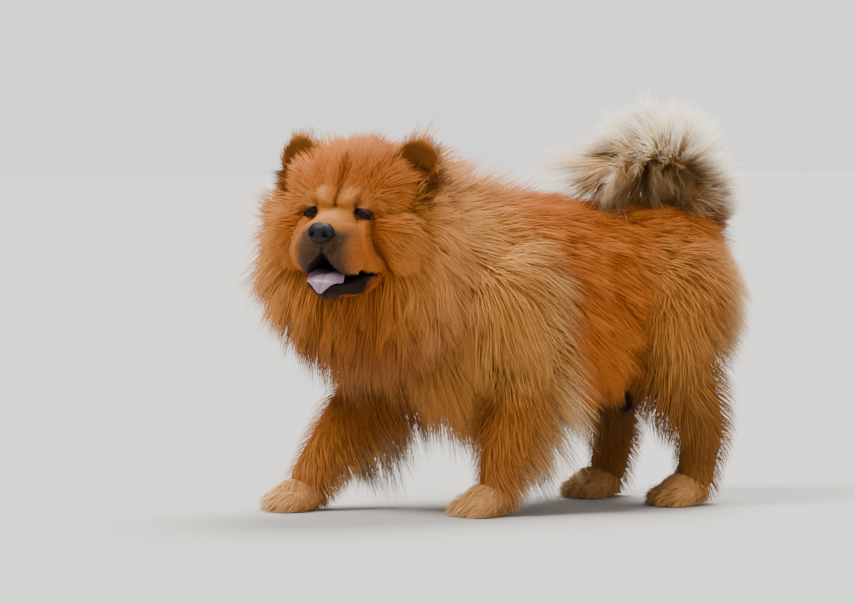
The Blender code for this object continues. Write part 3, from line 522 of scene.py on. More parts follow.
def ear_foot(local):
    """1 on the head in front of and below an ear, where the hair is short enough to show it, and 0 elsewhere."""
    found = np.zeros(len(local))
    for side in (1, -1):
        own = ear_place(local, side)
        outer = side * own[:, 0]
        here = ease(1.9, 1.2, outer) * ease(-0.60, -0.15, outer)
        here = here * ease(-1.05, -0.6, own[:, 2]) * ease(1.3, 0.3, own[:, 1])
        found = np.maximum(found, here)
    return found


def mouth_roof(ahead):
    """Height of the upper lips' edge, from the corner of the mouth forward: it dips to the bottoms of the flews."""
    return -0.0785 - 0.0115 * ease(0.000, 0.050, ahead)


def arch_half(z):
    """Half width of the gap between the flews at a height: 0.030 ((top - z) / 0.033)^0.8."""
    return 0.030 * np.clip((ARCH_TOP - z) / 0.033, 0, 1.3) ** 0.8


def prism_shell(outline, start, end):
    """An outline in x and z carried from one y to another, closed by fans at its ends."""
    rings, count = 12, len(outline)
    y = np.repeat(np.linspace(start, end, rings)[:, None], count, 1)
    ring = np.stack([np.tile(outline[:, 0], (rings, 1)), y, np.tile(outline[:, 1], (rings, 1))], -1)
    middle = outline.mean(0)
    points = np.vstack([ring.reshape(-1, 3), [(middle[0], start, middle[1]), (middle[0], end, middle[1])]])
    return points, tube_faces(rings, count)


def arch_shell():
    """The gap between the flews: an upside-down V, wider towards its foot."""
    z = np.linspace(ARCH_TOP, ARCH_TOP - 0.042, 14)
    right = np.column_stack([np.maximum(arch_half(z), 0.0008), z])
    outline = np.vstack([right, right[::-1] * (-1, 1)])
    return prism_shell(outline[::-1], *ARCH_Y)


def slit_shell(side, grow=0.0):
    """An almond across an eye, carried forward out of the face. It slants down outwards."""
    turn = np.arange(28) * 2 * np.pi / 28
    x = (SKIN_SLIT[0] + grow) * np.cos(turn)
    z = (SKIN_SLIT[1] + grow) * signed_power(np.sin(turn), 1.2)
    outline = slanted(x, z) * (side, 1) + (side * EYE_AT[0], EYE_AT[2])
    return prism_shell(outline[::-1] if side < 0 else outline, EYE_AT[1], -0.140)


def mouth_shell():
    """The space between the jaws: a wedge from the hinge with the lips' own lines for its floor and roof."""
    y = np.linspace(HINGE[0] + 0.004, -0.185, 30)
    ahead = HINGE[0] - y
    roof = mouth_roof(ahead)
    floor = HINGE[1] - 0.0008 + FLOOR_SLOPE * ahead
    rings, columns = len(y), 24
    turn = np.linspace(0, 2 * np.pi, columns + 1)[:-1]
    middle, tall = (roof + floor) / 2, (roof - floor) / 2
    ring = np.stack([
        np.tile(MOUTH_HALF * signed_power(np.cos(turn), 0.4), (rings, 1)),
        np.repeat(y[:, None], columns, 1),
        middle[:, None] + tall[:, None] * signed_power(np.sin(turn), 0.8),
    ], -1)
    points = np.vstack([ring.reshape(-1, 3), [(0, y[0], middle[0]), (0, y[-1], middle[-1])]])
    return points, tube_faces(rings, columns)


def mouth_depth(local):
    """Signed distance to the open mouth, below zero inside it: the least of those to wedge, arch and trough."""
    ahead = HINGE[0] - local[:, 1]
    roof = mouth_roof(ahead)
    floor = HINGE[1] + FLOOR_SLOPE * ahead
    x, z = np.abs(local[:, 0]), local[:, 2]
    wedge = np.maximum.reduce([z - roof, floor - z, -ahead, x - MOUTH_HALF])
    arch = np.maximum.reduce([(x - arch_half(z)) * 0.75, z - ARCH_TOP, -0.095 - z, local[:, 1] - ARCH_Y[0]])
    trough = (reach(local, *TROUGH) - 1) * TROUGH[1][2]
    return np.minimum.reduce([wedge, arch, trough])


# ------- skin
def crease_distance(local):
    """How far a point of the face stands inside the cheek crease, in metres across the face."""
    return np.interp(local[:, 2], CREASE_Z, CREASE_X) - np.abs(local[:, 0])


def short_coat(local):
    """1 on the short-haired mask of the face, inside the crease and below the forehead, and 0 elsewhere."""
    inside = ease(-0.006, 0.006, crease_distance(local))
    return inside * (1 - ease(0.026, 0.054, local[:, 2])) * ease(-0.010, -0.045, local[:, 1])


def head_relief(local):
    """Outward shift of the head's skin, bell by bell: brow points, furrow, fold over the bridge, fold by the eye, cheek
    crease and the swelling inside it, whisker pads, philtrum, hollow over the eye, and the swelling of the lips."""
    x, y, z = np.abs(local[:, 0]), local[:, 1], local[:, 2]
    front = ease(-0.030, -0.060, y)
    out = 0.0024 * bump(np.hypot(x - 0.0225, z - 0.037), 0.009)
    out -= 0.0040 * bump(x, 0.0045) * ease(0.004, 0.03, z) * (1 - ease(0.07, 0.10, z))
    out -= 0.0035 * bump(z - (0.0175 - 2.0 * x * x), 0.0050) * bump(x, 0.040)
    out -= 0.0020 * bump(np.hypot(x - 0.0335, (z - 0.020) / 2.2), 0.0038)
    out -= 0.0060 * bump(crease_distance(local), 0.0045) * (1 - ease(0.000, 0.012, z))
    out += 0.0040 * bump(crease_distance(local) - 0.016, 0.012) * bump(z + 0.048, 0.030)
    out += 0.0030 * bump(np.hypot(x - 0.027, z + 0.062), 0.016)
    out -= 0.0030 * bump(x, 0.0030) * ease(-0.034, -0.040, z)
    out -= 0.0022 * bump(np.hypot(x - 0.044, z - 0.026), 0.0060)
    lips = bump(mouth_depth(local) - 0.003, 0.003)
    out += 0.0016 * lips * ease(-0.05, -0.07, y)
    return out * front


def coat_inset(local):
    """How far the head's skin lies under its coat's tips: least on the muzzle, most on crown and cheeks."""
    short = short_coat(local)
    x = np.abs(local[:, 0])
    lids = bump(np.hypot(x - EYE_AT[0], local[:, 2] - EYE_AT[2]), 0.0175)
    return (0.0035 * short + 0.014 * (1 - short)) * (1 - lids)


def head_skin(voxel):
    """The head's fused masses and ears, with mouth and sockets cut and the relief put on, in body axes."""
    eyes = [(EYE_AT + EYE_SUNK) * (side, 1, 1) for side in (1, -1)]
    mounds = balls(eyes, [EYE_MOUND] * 2, 40, 22)
    shell = joined(balls(*head_balls(), across=40, down=22), mounds, ear_shell(1), ear_shell(-1))
    cutters = [mouth_shell(), arch_shell(), balls(*TROUGH, 40, 22), slit_shell(1, 0.0024), slit_shell(-1, 0.0024)]
    points, triangles = fused(shell, voxel, 3, cutters)
    normals = point_normals(points, triangles)
    mouth = ease(0.001, 0.006, mouth_depth(points))
    inset = coat_inset(points) * mouth * (1 - both_ears(points))
    points = points + normals * ((head_relief(points) - inset)[:, None])
    return from_head(points), triangles


def ear_mask(local, side):
    """1 on an ear above its root, and 0 elsewhere."""
    own = ear_place(local, side)
    return ease(0.10, 0.35, own[:, 2]) * ease(1.25, 1.05, np.abs(own[:, 0])) * ease(2.2, 1.6, np.abs(own[:, 1]))


def both_ears(local):
    """1 on either ear above its root, and 0 elsewhere."""
    return np.maximum(ear_mask(local, 1), ear_mask(local, -1))


def body_skin(voxel):
    """Trunk, neck, legs, tail and the ruff's flattened ball, fused."""
    centres, radii, _, _ = body_balls()
    points, faces = balls((0, 0, 0), RUFF_RADII, 60, 34)
    ruff = from_head(points + np.array(RUFF_AT)), faces
    return fused(joined(balls(centres, radii), ruff), voxel, 6)


def paw_skin(voxel):
    """Pads and toes, cut level at the floor by pressing what is below it up to it."""
    centres, radii = [], []
    for x, y in paw_places():
        centres.append((x, y, PAW_HEIGHT - 0.004))
        radii.append([r - 0.003 for r in PAW_PAD])
        for across, reach in zip(TOE_SPREAD, TOE_REACH):
            centres.append((x + across, y - reach, TOE[2] - 0.004))
            radii.append([r - 0.0025 for r in TOE])
    points, triangles = fused(balls(np.array(centres), np.array(radii), 32, 18), voxel, 2)
    points[:, 2] = np.maximum(points[:, 2], 0.0)
    return points, triangles


def ruff_distance(points):
    """Distance outside the ruff's flattened ball, about in metres."""
    return (reach(to_head(points), RUFF_AT, RUFF_RADII) - 1) * RUFF_SCALE


def nearest_mix(points, sharpness=0.010):
    """Coat depth and share of each part, from the balls near each point, weighed by exp(-distance / sharpness)."""
    centres, radii, coats, parts = body_balls()
    ruff = ruff_distance(points)
    depth = np.empty(len(points))
    share = np.zeros((len(points), len(PARTS)))
    for start in range(0, len(points), SKIN_BLOCK):
        block = slice(start, start + SKIN_BLOCK)
        apart = points[block, None, :] - centres[None]
        away = (np.linalg.norm(apart / radii, axis=2) - 1) * radii.min(1)
        away = np.hstack([away, ruff[block, None]])
        weight = np.exp(-(away - away.min(1, keepdims=True)) / sharpness)
        weight[:, -1] *= 4.0
        weight /= weight.sum(1, keepdims=True)
        depth[block] = weight @ np.append(coats, RUFF_COAT)
        for number in np.unique(parts):
            share[block, number] = weight[:, :-1][:, parts == number].sum(1)
        share[block, PART["ruff"]] = weight[:, -1]
    return depth, share


def inside_head(points):
    """Above zero where a point lies inside the head's masses, in metres."""
    local = to_head(points)
    centres, radii = head_balls()
    away = np.stack([(reach(local, c, r) - 1) * r.min() for c, r in zip(centres, radii)])
    return -away.min(0)


def inside_body(points):
    """Above zero where a point lies inside trunk, neck, ruff or legs, in metres."""
    centres, radii, _, _ = body_balls()
    best = ruff_distance(points)
    for start in range(0, len(points), SKIN_BLOCK):
        block = slice(start, start + SKIN_BLOCK)
        away = (np.linalg.norm((points[block, None] - centres[None]) / radii, axis=2) - 1) * radii.min(1)
        best[block] = np.minimum(best[block], away.min(1))
    return -best


def lie_of(points, normals, share):
    """The direction that hair lies in at each point, mixed from one rule for each part."""
    local = to_head(points)
    side = 1 - np.abs(normals[:, 2:])
    sign = np.sign(points[:, :1])
    zero = np.zeros((len(points), 1))
    down = np.array((0.0, 0.0, -1.0))

    # Trunk: back along it and down its sides, and mostly down beneath it and at the rump.
    rump = ease(0.16, 0.29, points[:, 1:2])
    under = ease(0.2, 0.8, -normals[:, 2:])
    back = np.hstack([0.06 * sign, 0.85 + zero, -0.10 - 0.62 * side])
    hang = np.hstack([0.05 * sign, 0.40 + zero, -0.95 + zero])
    mix = np.maximum(0.75 * rump, under)
    trunk = back * (1 - mix) + hang * mix

    # Mane: out from the face as spokes and back, swept up on top, down on the chest, and along the nape behind.
    wheel = unit(np.hstack([local[:, :1], zero, local[:, 2:] - RUFF_AT[2]]))
    outward = (wheel * (0.36, 0, 0.36) + np.array((0.0, 0.80, -0.24))) @ HEAD_AXES.T
    behind = ease(0.03, 0.15, local[:, 1:2])
    chest = ease(0.02, -0.10, local[:, 2:]) * ease(0.16, -0.02, local[:, 1:2])
    nape = np.hstack([0.35 * normals[:, :1], 0.80 + zero, 0.14 * ease(-0.03, 0.05, local[:, 2:]) - 0.50 * side])
    mane = outward * (1 - behind) + nape * behind
    top = ease(0.02, 0.09, local[:, 2:]) * ease(0.16, 0.06, np.abs(local[:, :1]))
    swept = np.hstack([0.35 * local[:, :1] / 0.1, 0.80 + zero, 0.50 + zero]) @ HEAD_AXES.T
    mane = mane * (1 - top) + swept * top
    mane = mane * (1 - 0.80 * chest) + np.hstack([0.22 * normals[:, :1], 0.10 + zero, -1.0 + zero]) * 0.80 * chest

    # Plume: a fan by the root's y, flared at its sides and turned down over the back on its inside.
    fan = np.radians(np.interp(points[:, 1:2], PLUME_Y, PLUME_WAY))
    plume = np.hstack([0.45 * normals[:, :1], np.cos(fan), np.sin(fan)]) + 0.20 * normals
    flare = ease(0.30, 0.80, np.abs(normals[:, :1])) * ease(0.49, 0.53, points[:, 2:])
    plume = plume + flare * np.hstack([0.45 * sign, zero, 0.10 + zero])
    inner = ease(0.0, 0.7, dot(normals, unit(PLUME_FROM - points))) * ease(0.50, 0.54, points[:, 2:])
    plume = plume * (1 - inner) + inner * np.hstack([0.50 * sign, -0.40 + zero, -0.85 + zero])

    leg = np.hstack([0.12 * normals[:, :1], 0.20 + 0.40 * ease(-0.2, 0.6, normals[:, 1:2]), -1.0 + zero])
    paw = np.hstack([zero, -0.75 + zero, -0.45 + zero])
    parts = [trunk, mane, mane, plume, leg, leg, paw, head_lie(local), ear_lie(local)]
    lie = sum(share[:, k : k + 1] * unit(part) for k, part in enumerate(parts))
    return unit(lie + 1e-6 * down)


def head_lie(local):
    """Hair of the head: back from the nose on the muzzle, up and back over the crown, out and down over the cheeks."""
    x, z = local[:, :1], local[:, 2:]
    wheel = unit(np.hstack([x, 0 * x, z - NOSE_AT[2] + 0.004]))
    muzzle = wheel * 0.75 + np.array((0.0, 0.75, 0.0))
    crown = np.hstack([2.2 * x, 0.55 + 0 * x, 0.085 + 0 * x])
    crown = unit(crown * (1, 0.12, 1)) + np.array((0.0, 0.55, 0.0))
    cheek = np.hstack([0.55 * np.sign(x), 0.55 + 0 * x, -0.62 + 0 * x])
    chin = np.hstack([0.3 * np.sign(x), 0.55 + 0 * x, -0.8 + 0 * x])
    up = ease(0.020, 0.060, z)
    outer = ease(0.006, -0.010, crease_distance(local)[:, None]) * (1 - up)
    low = ease(-0.100, -0.120, z) * ease(0.07, 0.05, np.abs(x))
    mixed = unit(muzzle) * (1 - up) * (1 - outer) + unit(crown) * up + unit(cheek) * outer
    return (mixed * (1 - low) + unit(chin) * low) @ HEAD_AXES.T


def ear_lie(local):
    """Hair of an ear runs up it towards its tip, and back over the rim."""
    side = np.sign(local[:, :1])
    up = np.hstack([side * sin(EAR_LEAN), 0.15 + 0 * side, cos(EAR_LEAN) + 0 * side])
    return up @ HEAD_AXES.T


def markings(points, normals, share):
    """Masks of the coat's colours, each 0 to 1: gold over red, cream, brown for the ears' insides and for
    painted shade, muzzle grey, and black of the lips with painted shade in the folds by the eyes.
    """
    x, y, z = points.T
    trunk, neck, ruff, tail, fore, hind, paw, head, ear = share.T
    local = to_head(points)
    lx, ly, lz = np.abs(local[:, 0]), local[:, 1], local[:, 2]
    crease = crease_distance(local)
    mane = neck + ruff

    # Body: the pale cape with its wavy edge behind the shoulder and a bright line along that, haunch and belly.
    ripple = np.sin(31 * y + 17 * z) * np.sin(23 * z - 29 * x + 1.3) * np.cos(19 * x + 11 * y)
    edge = y + 0.074 + 0.75 * np.maximum(z - 0.39, 0) + 0.008 * np.sin(60 * z) + 0.010 * ripple
    cape = ease(0.012, -0.012, edge) * ease(0.19, 0.26, z)
    haunch = ease(0.08, 0.16, y) * ease(0.50, 0.44, z)
    shoulder = trunk + fore
    bright_edge = bump(edge + 0.016, 0.026) * ease(0.26, 0.36, z) * ease(0.50, 0.44, z)
    gold = shoulder * (0.03 + 0.72 * cape) + (trunk + hind) * 0.50 * haunch
    gold += trunk * 0.30 * ease(0.28, 0.20, z)

    # Mane: palest at its rim and nape, redder low down. Legs and paws: paler downwards and behind.
    rim = ease(0.075, 0.165, np.hypot(lx, lz + 0.03)) * ease(0.12, 0.02, ly)
    nape = ease(0.02, 0.10, ly) * ease(-0.19, -0.06, lz)
    low = ease(0.46, 0.32, z) * ease(0.08, 0.03, ly)
    gold += mane * (0.34 + 0.34 * rim + 0.34 * nape - 0.34 * low)
    gold += (fore + hind) * (0.38 * ease(0.36, 0.26, z) + 0.20 * ease(0.10, 0.03, z))
    # Paler behind the forelegs: partly the feather's own colour, partly painted light where it hangs in shade.
    gold += paw * 0.80 + fore * 0.45 * ease(0.1, 0.8, normals[:, 1]) * ease(0.30, 0.22, z)

    # Head: brow spots, outer brows, muzzle, bridge, cheeks and ears.
    brows = bump(np.hypot(lx - 0.0225, lz - 0.036), 0.0088) * ease(-0.07, -0.09, ly)
    outer = bump(np.hypot(lx - 0.062, lz - 0.030), 0.016) * ease(-0.03, -0.06, ly)
    muzzle = short_coat(local)
    bridge = bump(lx, 0.030) * ease(-0.050, -0.010, lz) * ease(0.030, 0.012, lz) * ease(-0.06, -0.08, ly)
    gold += head * (0.16 * muzzle + 0.60 * brows + 0.35 * outer + 0.36 * bridge)
    gold += head * (0.50 * ease(0.062, 0.120, lx) * ease(0.10, 0.05, lz)) * (1 - muzzle)
    gold += head * 0.22 * ease(-0.05, -0.12, lz) * (1 - muzzle)
    gold += ear * 0.45 + 0.14 * ripple

    # Redder withers. Plume: whitest away from its middle and on its outside. Seat, mane rim, paws, backs of the legs.
    withers = ease(-0.21, -0.15, y) * ease(0.42, 0.49, z) * (1 - tail)
    gold *= 1 - 0.85 * withers
    around = np.linalg.norm(points - PLUME_FROM, axis=1)
    inside = ease(0.0, 0.7, dot(normals, unit(PLUME_FROM - points))[:, 0])
    cream = tail * ease(0.480, 0.525, z) * (0.45 + 0.55 * ease(0.080, 0.100, around))
    cream *= 1 - 0.50 * inside * tail
    cream += 0.22 * shoulder * bright_edge
    gold += tail * (0.35 + 0.60 * ease(0.49, 0.52, z))
    seat = (trunk + hind) * ease(0.225, 0.305, y) * ease(0.50, 0.42, z) * ease(0.15, 0.25, z)
    cream += 0.58 * seat
    gold += 0.55 * seat
    cream *= 1 - withers
    cream += mane * 0.08 * rim + 0.22 * paw + 0.12 * fore * ease(0.12, 0.05, z)
    # Cream behind the forelegs: partly the feather's own colour, partly painted light where it hangs in shade.
    cream += 0.85 * fore * ease(0.2, 0.8, normals[:, 1]) * ease(0.30, 0.22, z)

    # Brown_and_shade: darker inside the ears and round the eyes, and painted shade at each place marked below.
    inner = np.zeros(len(points))
    for side in (1, -1):
        own = ear_place(local, side)
        inner += ear_mask(local, side) * ease(0.92, 0.60, np.abs(own[:, 0]))
    forward = ease(0.15, -0.40, (normals @ HEAD_AXES)[:, 1])
    brown = 0.72 * np.clip(inner, 0, 1) * forward * ease(0.96, 0.70, ear_height(local))
    # Painted shade in the furrow between the brows and in the cheek crease.
    brown += head * 0.90 * bump(lx, 0.0055) * ease(0.008, 0.022, lz) * ease(0.10, 0.06, lz) * ease(-0.03, -0.06, ly)
    brown += head * 0.95 * bump(crease - 0.002, 0.0040) * ease(0.014, 0.002, lz) * ease(-0.02, -0.04, ly)
    brown += head * 0.26 * bump(np.hypot((lx - 0.050) / 1.4, lz - 0.030), 0.013) * ease(-0.04, -0.06, ly)
    # Painted shade in the fold over each eye's inner end.
    brown += head * 0.60 * bump(np.hypot(lx - 0.0345, (lz - 0.022) / 1.8), 0.0055) * ease(-0.05, -0.07, ly)
    # Painted shadow at the foot of each ear, where its hair meets the mane.
    out_x, out_z = lx - 0.110, lz - 0.062
    along_ear, across_ear = 0.64 * out_x - 0.77 * out_z, 0.77 * out_x + 0.64 * out_z
    hollow = ease(1.15, 0.75, np.hypot(along_ear / 0.058, across_ear / 0.027))
    brown += (head + mane) * 0.85 * hollow * forward
    # Painted shade on the crown, against the top light, and on the left of the forehead by the left ear.
    brown += head * 0.10 * ease(0.05, 0.09, lz) * ease(0.085, 0.06, lx)
    brown += head * 0.30 * bump(np.hypot(local[:, 0] - 0.052, lz - 0.072), 0.034) * ease(0.01, -0.02, ly)
    # Painted shade low on the legs, taken off behind the forelegs.
    behind_leg = fore * ease(0.0, 0.5, normals[:, 1])
    brown += (fore + hind) * 0.30 * ease(0.34, 0.20, z) - 0.30 * behind_leg
    # Painted shade on the haunch and low on the flank, and on the front of the lower mane.
    flank = trunk * (0.22 * haunch + 0.20 * ease(0.30, 0.22, z))
    brown += flank + mane * 0.50 * ease(-0.05, -0.16, lz) * ease(0.16, 0.08, ly)
    # Painted shade over all the legs, most on the hind ones.
    brown += hind * 0.34 + fore * 0.10
    # Painted shade on the upward-facing back and mane, against the top light.
    brown += trunk * 0.26 * ease(0.5, 0.95, normals[:, 2]) + mane * 0.16 * ease(0.4, 0.95, normals[:, 2])

    # Grey: the muzzle below the nose's top, and the lower jaw.
    below = ease(-0.006, -0.030, lz)
    grey = head * ease(0.060, 0.020, lx) * below * ease(-0.098, -0.122, ly) * ease(-0.105, -0.094, lz)
    jaw = head * ease(-0.088, -0.096, lz) * ease(0.060, 0.050, lx) * ease(-0.050, -0.065, ly)
    grey = 1.35 * grey + 0.95 * jaw

    # Black: lips, philtrum, the skin round the eyes with painted shade in a fold, the lower jaw's edge, pads and
    # sheath.
    lips = ease(0.0050, 0.0022, mouth_depth(local)) * head
    philtrum = bump(lx, 0.0022) * ease(-0.036, -0.041, lz) * ease(-0.12, -0.13, ly) * head
    from_eye = np.hypot((lx - EYE_AT[0]) * 0.85, (lz - EYE_AT[2]) * 1.25)
    eyes = ease(0.0165, 0.0125, from_eye) * ease(-0.05, -0.07, ly) * head
    jaw_top = jaw * (0.55 + 0.45 * ease(-0.134, -0.120, lz))
    pads = paw * ease(0.004, 0.001, z)
    sheath = ease(1.75, 1.35, reach(points, *SHEATH))
    # Painted shade in the fold over each eye's inner end.
    fold = head * bump(np.hypot(lx - 0.0355, (lz - 0.021) / 2.2), 0.0042) * ease(-0.05, -0.07, ly)
    black = lips + philtrum + 0.8 * fold + 0.9 * eyes + 0.9 * pads + 0.90 * jaw_top + trunk * sheath
    masks = {"gold": gold, "cream": cream, "brown": brown, "grey": grey, "black": black}
    return {key: np.clip(mask, 0, 1) for key, mask in masks.items()}


def coat_sizes(points, normals, depth, share):
    """How far the hair rises from the skin at each point, and how long it is."""
    trunk, neck, ruff, tail, fore, hind, paw, head, ear = share.T
    z = points[:, 2]
    local = to_head(points)
    lx, ly, lz = np.abs(local[:, 0]), local[:, 1], local[:, 2]

    # Head: short on the face, longer over the cheeks and crown.
    short = short_coat(local)
    crown = ease(0.045, 0.085, lz)
    far = ease(0.0, 0.030, -crease_distance(local)) * (1 - crown) + crown
    head_depth = (0.0035 + 0.003 * ease(0.0, -0.04, ly)) * short + (0.014 + 0.022 * far) * (1 - short)
    head_length = 0.0085 * short + (0.024 + 0.026 * far) * (1 - short)
    out = depth * (1 - head - ear) * (1 - 0.35 * tail) + head_depth * head + 0.007 * ear

    # Body by its coat's depth, and the plume by its own table.
    body_length = depth * 1.55 + 0.008
    plume = tail * ease(0.48, 0.52, z)
    strand = np.interp(points[:, 1], PLUME_Y, PLUME_LONG)
    body_length -= 0.030 * tail
    body_length = body_length * (1 - plume) + strand * plume
    length = body_length * (1 - head - ear) + head_length * head

    # Ears: longer at the root and behind. Shorter hair before them shows them.
    ear_back = ear * ease(-0.2, 0.5, (normals @ HEAD_AXES)[:, 1])
    length += ear * (0.011 + 0.008 * ease(0.5, 0.1, ear_height(local))) + 0.011 * ear_back
    out += 0.007 * ear_back
    by_ear = ear_foot(local) * head
    length *= 1 - 0.50 * by_ear
    out *= 1 - 0.66 * by_ear

    # Mane: lower on top in the middle, higher at its sides and crest, and lower beside the ears and at its rim.
    mane = neck + ruff
    top = mane * ease(0.02, 0.09, lz) * ease(0.20, 0.10, ly)
    out *= 1 + top * (0.30 * ease(0.030, 0.075, lx) - 0.52 * ease(0.075, 0.030, lx))
    length *= 1 - 0.12 * top
    crest = mane * ease(-0.03, 0.04, lz) * ease(0.01, 0.05, ly) * ease(0.16, 0.08, ly)
    out += 0.010 * crest
    length += 0.006 * crest
    faces_front = ease(0.0, -0.5, (normals @ HEAD_AXES)[:, 1])
    beside = mane * faces_front * bump(np.hypot(lx - 0.128, lz - 0.050), 0.055)
    out *= 1 - 0.60 * beside
    length *= 1 - 0.50 * beside
    rim = ruff * ease(0.10, 0.02, ly)
    out *= 1 - 0.30 * rim
    length *= 1 - 0.18 * rim

    # Feather behind the forelegs, bare place round the sheath, rise of the plume, legs, paws and back.
    back_of_leg = fore * ease(0.1, 0.7, normals[:, 1]) * ease(0.08, 0.13, z) * ease(0.32, 0.27, z)
    length += 0.036 * back_of_leg
    sheath = bump(reach(points, SHEATH[0], SHEATH_BARE), 1.0)
    length *= 1 - 0.55 * sheath * trunk
    out *= 1 - 0.70 * sheath * trunk
    rise = np.interp(points[:, 1], PLUME_Y, PLUME_RISE) + 0.12 * ease(0.3, 0.8, np.abs(normals[:, 0]))
    out = out * (1 - plume) + rise * strand * plume
    limb = (fore + hind) * ease(0.26, 0.16, z)
    out = out * (1 + 0.20 * limb)
    length = length * (1 + 0.35 * limb)
    out = out * (1 - paw) + 0.0070 * paw
    length = length * (1 - paw) + 0.022 * paw
    out *= 1 - 0.45 * ease(0.7, 0.95, normals[:, 2]) * trunk
    return out, length


class Skin:
    """The skin's arrays and all that the coat needs to know at each of its points."""

    def __init__(self, body_voxel, head_voxel, paw_voxel):
        body = body_skin(body_voxel)
        paws = paw_skin(paw_voxel)
        head = head_skin(head_voxel)
        self.points, self.triangles = joined(body, paws, head)
        self.normals = np.vstack([point_normals(*island) for island in (body, paws, head)])
        first, second = len(body[0]), len(body[0]) + len(paws[0])
        body_depth, share = nearest_mix(self.points[:first])
        count = len(self.points)
        depth = np.full(count, 0.014)
        depth[:first] = body_depth
        self.share = np.zeros((count, len(PARTS)))
        self.share[:first] = share
        self.share[first:second, PART["paw"]] = 1.0
        ears = both_ears(to_head(self.points[second:]))
        self.share[second:, PART["head"]] = 1 - ears
        self.share[second:, PART["ear"]] = ears
        self.hidden = np.zeros(count, bool)
        self.hidden[:first] = inside_head(self.points[:first]) > 0.010
        self.hidden[second:] = inside_body(self.points[second:]) > 0.004
        self.hidden[first:second] = inside_body(self.points[first:second]) > 0.002
        self.lie = lie_of(self.points, self.normals, self.share)
        self.masks = markings(self.points, self.normals, self.share)
        self.out, self.length = coat_sizes(self.points, self.normals, depth, self.share)


# ------- coat
# Shares of a tuft's length where its rings stand, and their widths, for long tufts and for short ones.
LONG = (np.array((0.0, 0.36, 0.72, 1.0)), np.array((0.80, 0.96, 0.52)))
SHORT = (np.array((0.0, 0.55, 1.0)), np.array((0.90, 0.70)))

# The size of a tuft's UV patch, how deep its root is sunk in the skin, and how far its points keep off the floor.
UV_PATCH = 0.003
ROOT_SUNK = 0.0015
FLOOR_GAP = 0.0015


def paths(root, normal, lie, length, out, droop, steps):
    """Hair's middle line at share s of its length:
    root + normal * out * (1 - (1 - s)^1.7) + lie * run * s^1.1 - up * droop * s^2,
    where the run is what out leaves of the length, by Pythagoras."""
    s = steps[None, :, None]
    run = np.sqrt(np.maximum(length**2 - out**2, (0.35 * length) ** 2))
    rise = normal[:, None] * out[:, None, None] * (1 - (1 - s) ** 1.7)
    reach = lie[:, None] * run[:, None, None] * s**1.1
    fall = np.array((0.0, 0.0, 1.0)) * droop[:, None, None] * s**2
    return root[:, None] + rise + reach - fall


def tuft_mesh(name, line, normal, width, atlas, values, kind, skyward, lean):
    """Each tuft: three-sided flattened rings on its middle line, closed by a point at the tip and a face at the root.
    Its shading leans to the skin's normal, as fur's does. Its UV patch is 0.003 across, at the root's place in the
    atlas."""
    steps, widths = kind
    count, rings = len(line), len(widths)
    ahead = np.diff(line, axis=1)
    ahead[:, 1:] += ahead[:, :-1]
    ahead = unit(ahead)
    across = unit(np.cross(ahead, normal[:, None] + 1e-4))
    up = np.cross(across, ahead)
    half = (width[:, None] * widths / 2)[..., None]
    ring = np.stack([
        line[:, :-1] + across * half,
        line[:, :-1] + up * half * 0.75,
        line[:, :-1] - across * half,
    ], 2)
    points = np.concatenate([ring.reshape(count, 3 * rings, 3), line[:, -1:]], 1)
    size = 3 * rings + 1
    sides = []
    for first in range(0, 3 * rings - 3, 3):
        for k in range(3):
            a, b = first + k, first + (k + 1) % 3
            sides += [(a, b + 3, b), (a, a + 3, b + 3)]
    last = 3 * rings - 3
    tip = [(last + (k + 1) % 3, last + k, last + 3) for k in range(3)]
    pattern = np.array([(0, 1, 2), *sides, *tip])
    faces = (pattern[None] + size * np.arange(count)[:, None, None]).reshape(-1, 3)
    obj = put_mesh(name, points.reshape(-1, 3), faces)
    mesh = obj.data
    facing = np.stack([across * 0.45, up * 0.60, -across * 0.45], 2).reshape(count, 3 * rings, 3)
    facing = np.concatenate([facing, up[:, -1:] * 0.5], 1) + normal[:, None] * lean + np.array((0.0, 0.0, skyward))
    mesh.normals_split_custom_set_from_vertices(unit(facing).reshape(-1, 3))
    patch_u = np.array((0.0, 0.5, 1.0) * rings + (0.5,))
    patch_v = np.append(np.repeat(steps[:-1], 3), 1.0)
    uv = atlas[:, None] + UV_PATCH * np.stack([patch_u, patch_v], 1)[None]
    layer = mesh.uv_layers.new(name="OFBake")
    layer.data.foreach_set("uv", np.ascontiguousarray(uv.reshape(-1, 2)[faces.ravel()], np.float32).ravel())
    set_values(mesh, "along", np.tile(patch_v, count))
    for key, value in values.items():
        set_values(mesh, key, np.repeat(value, size))
    return obj


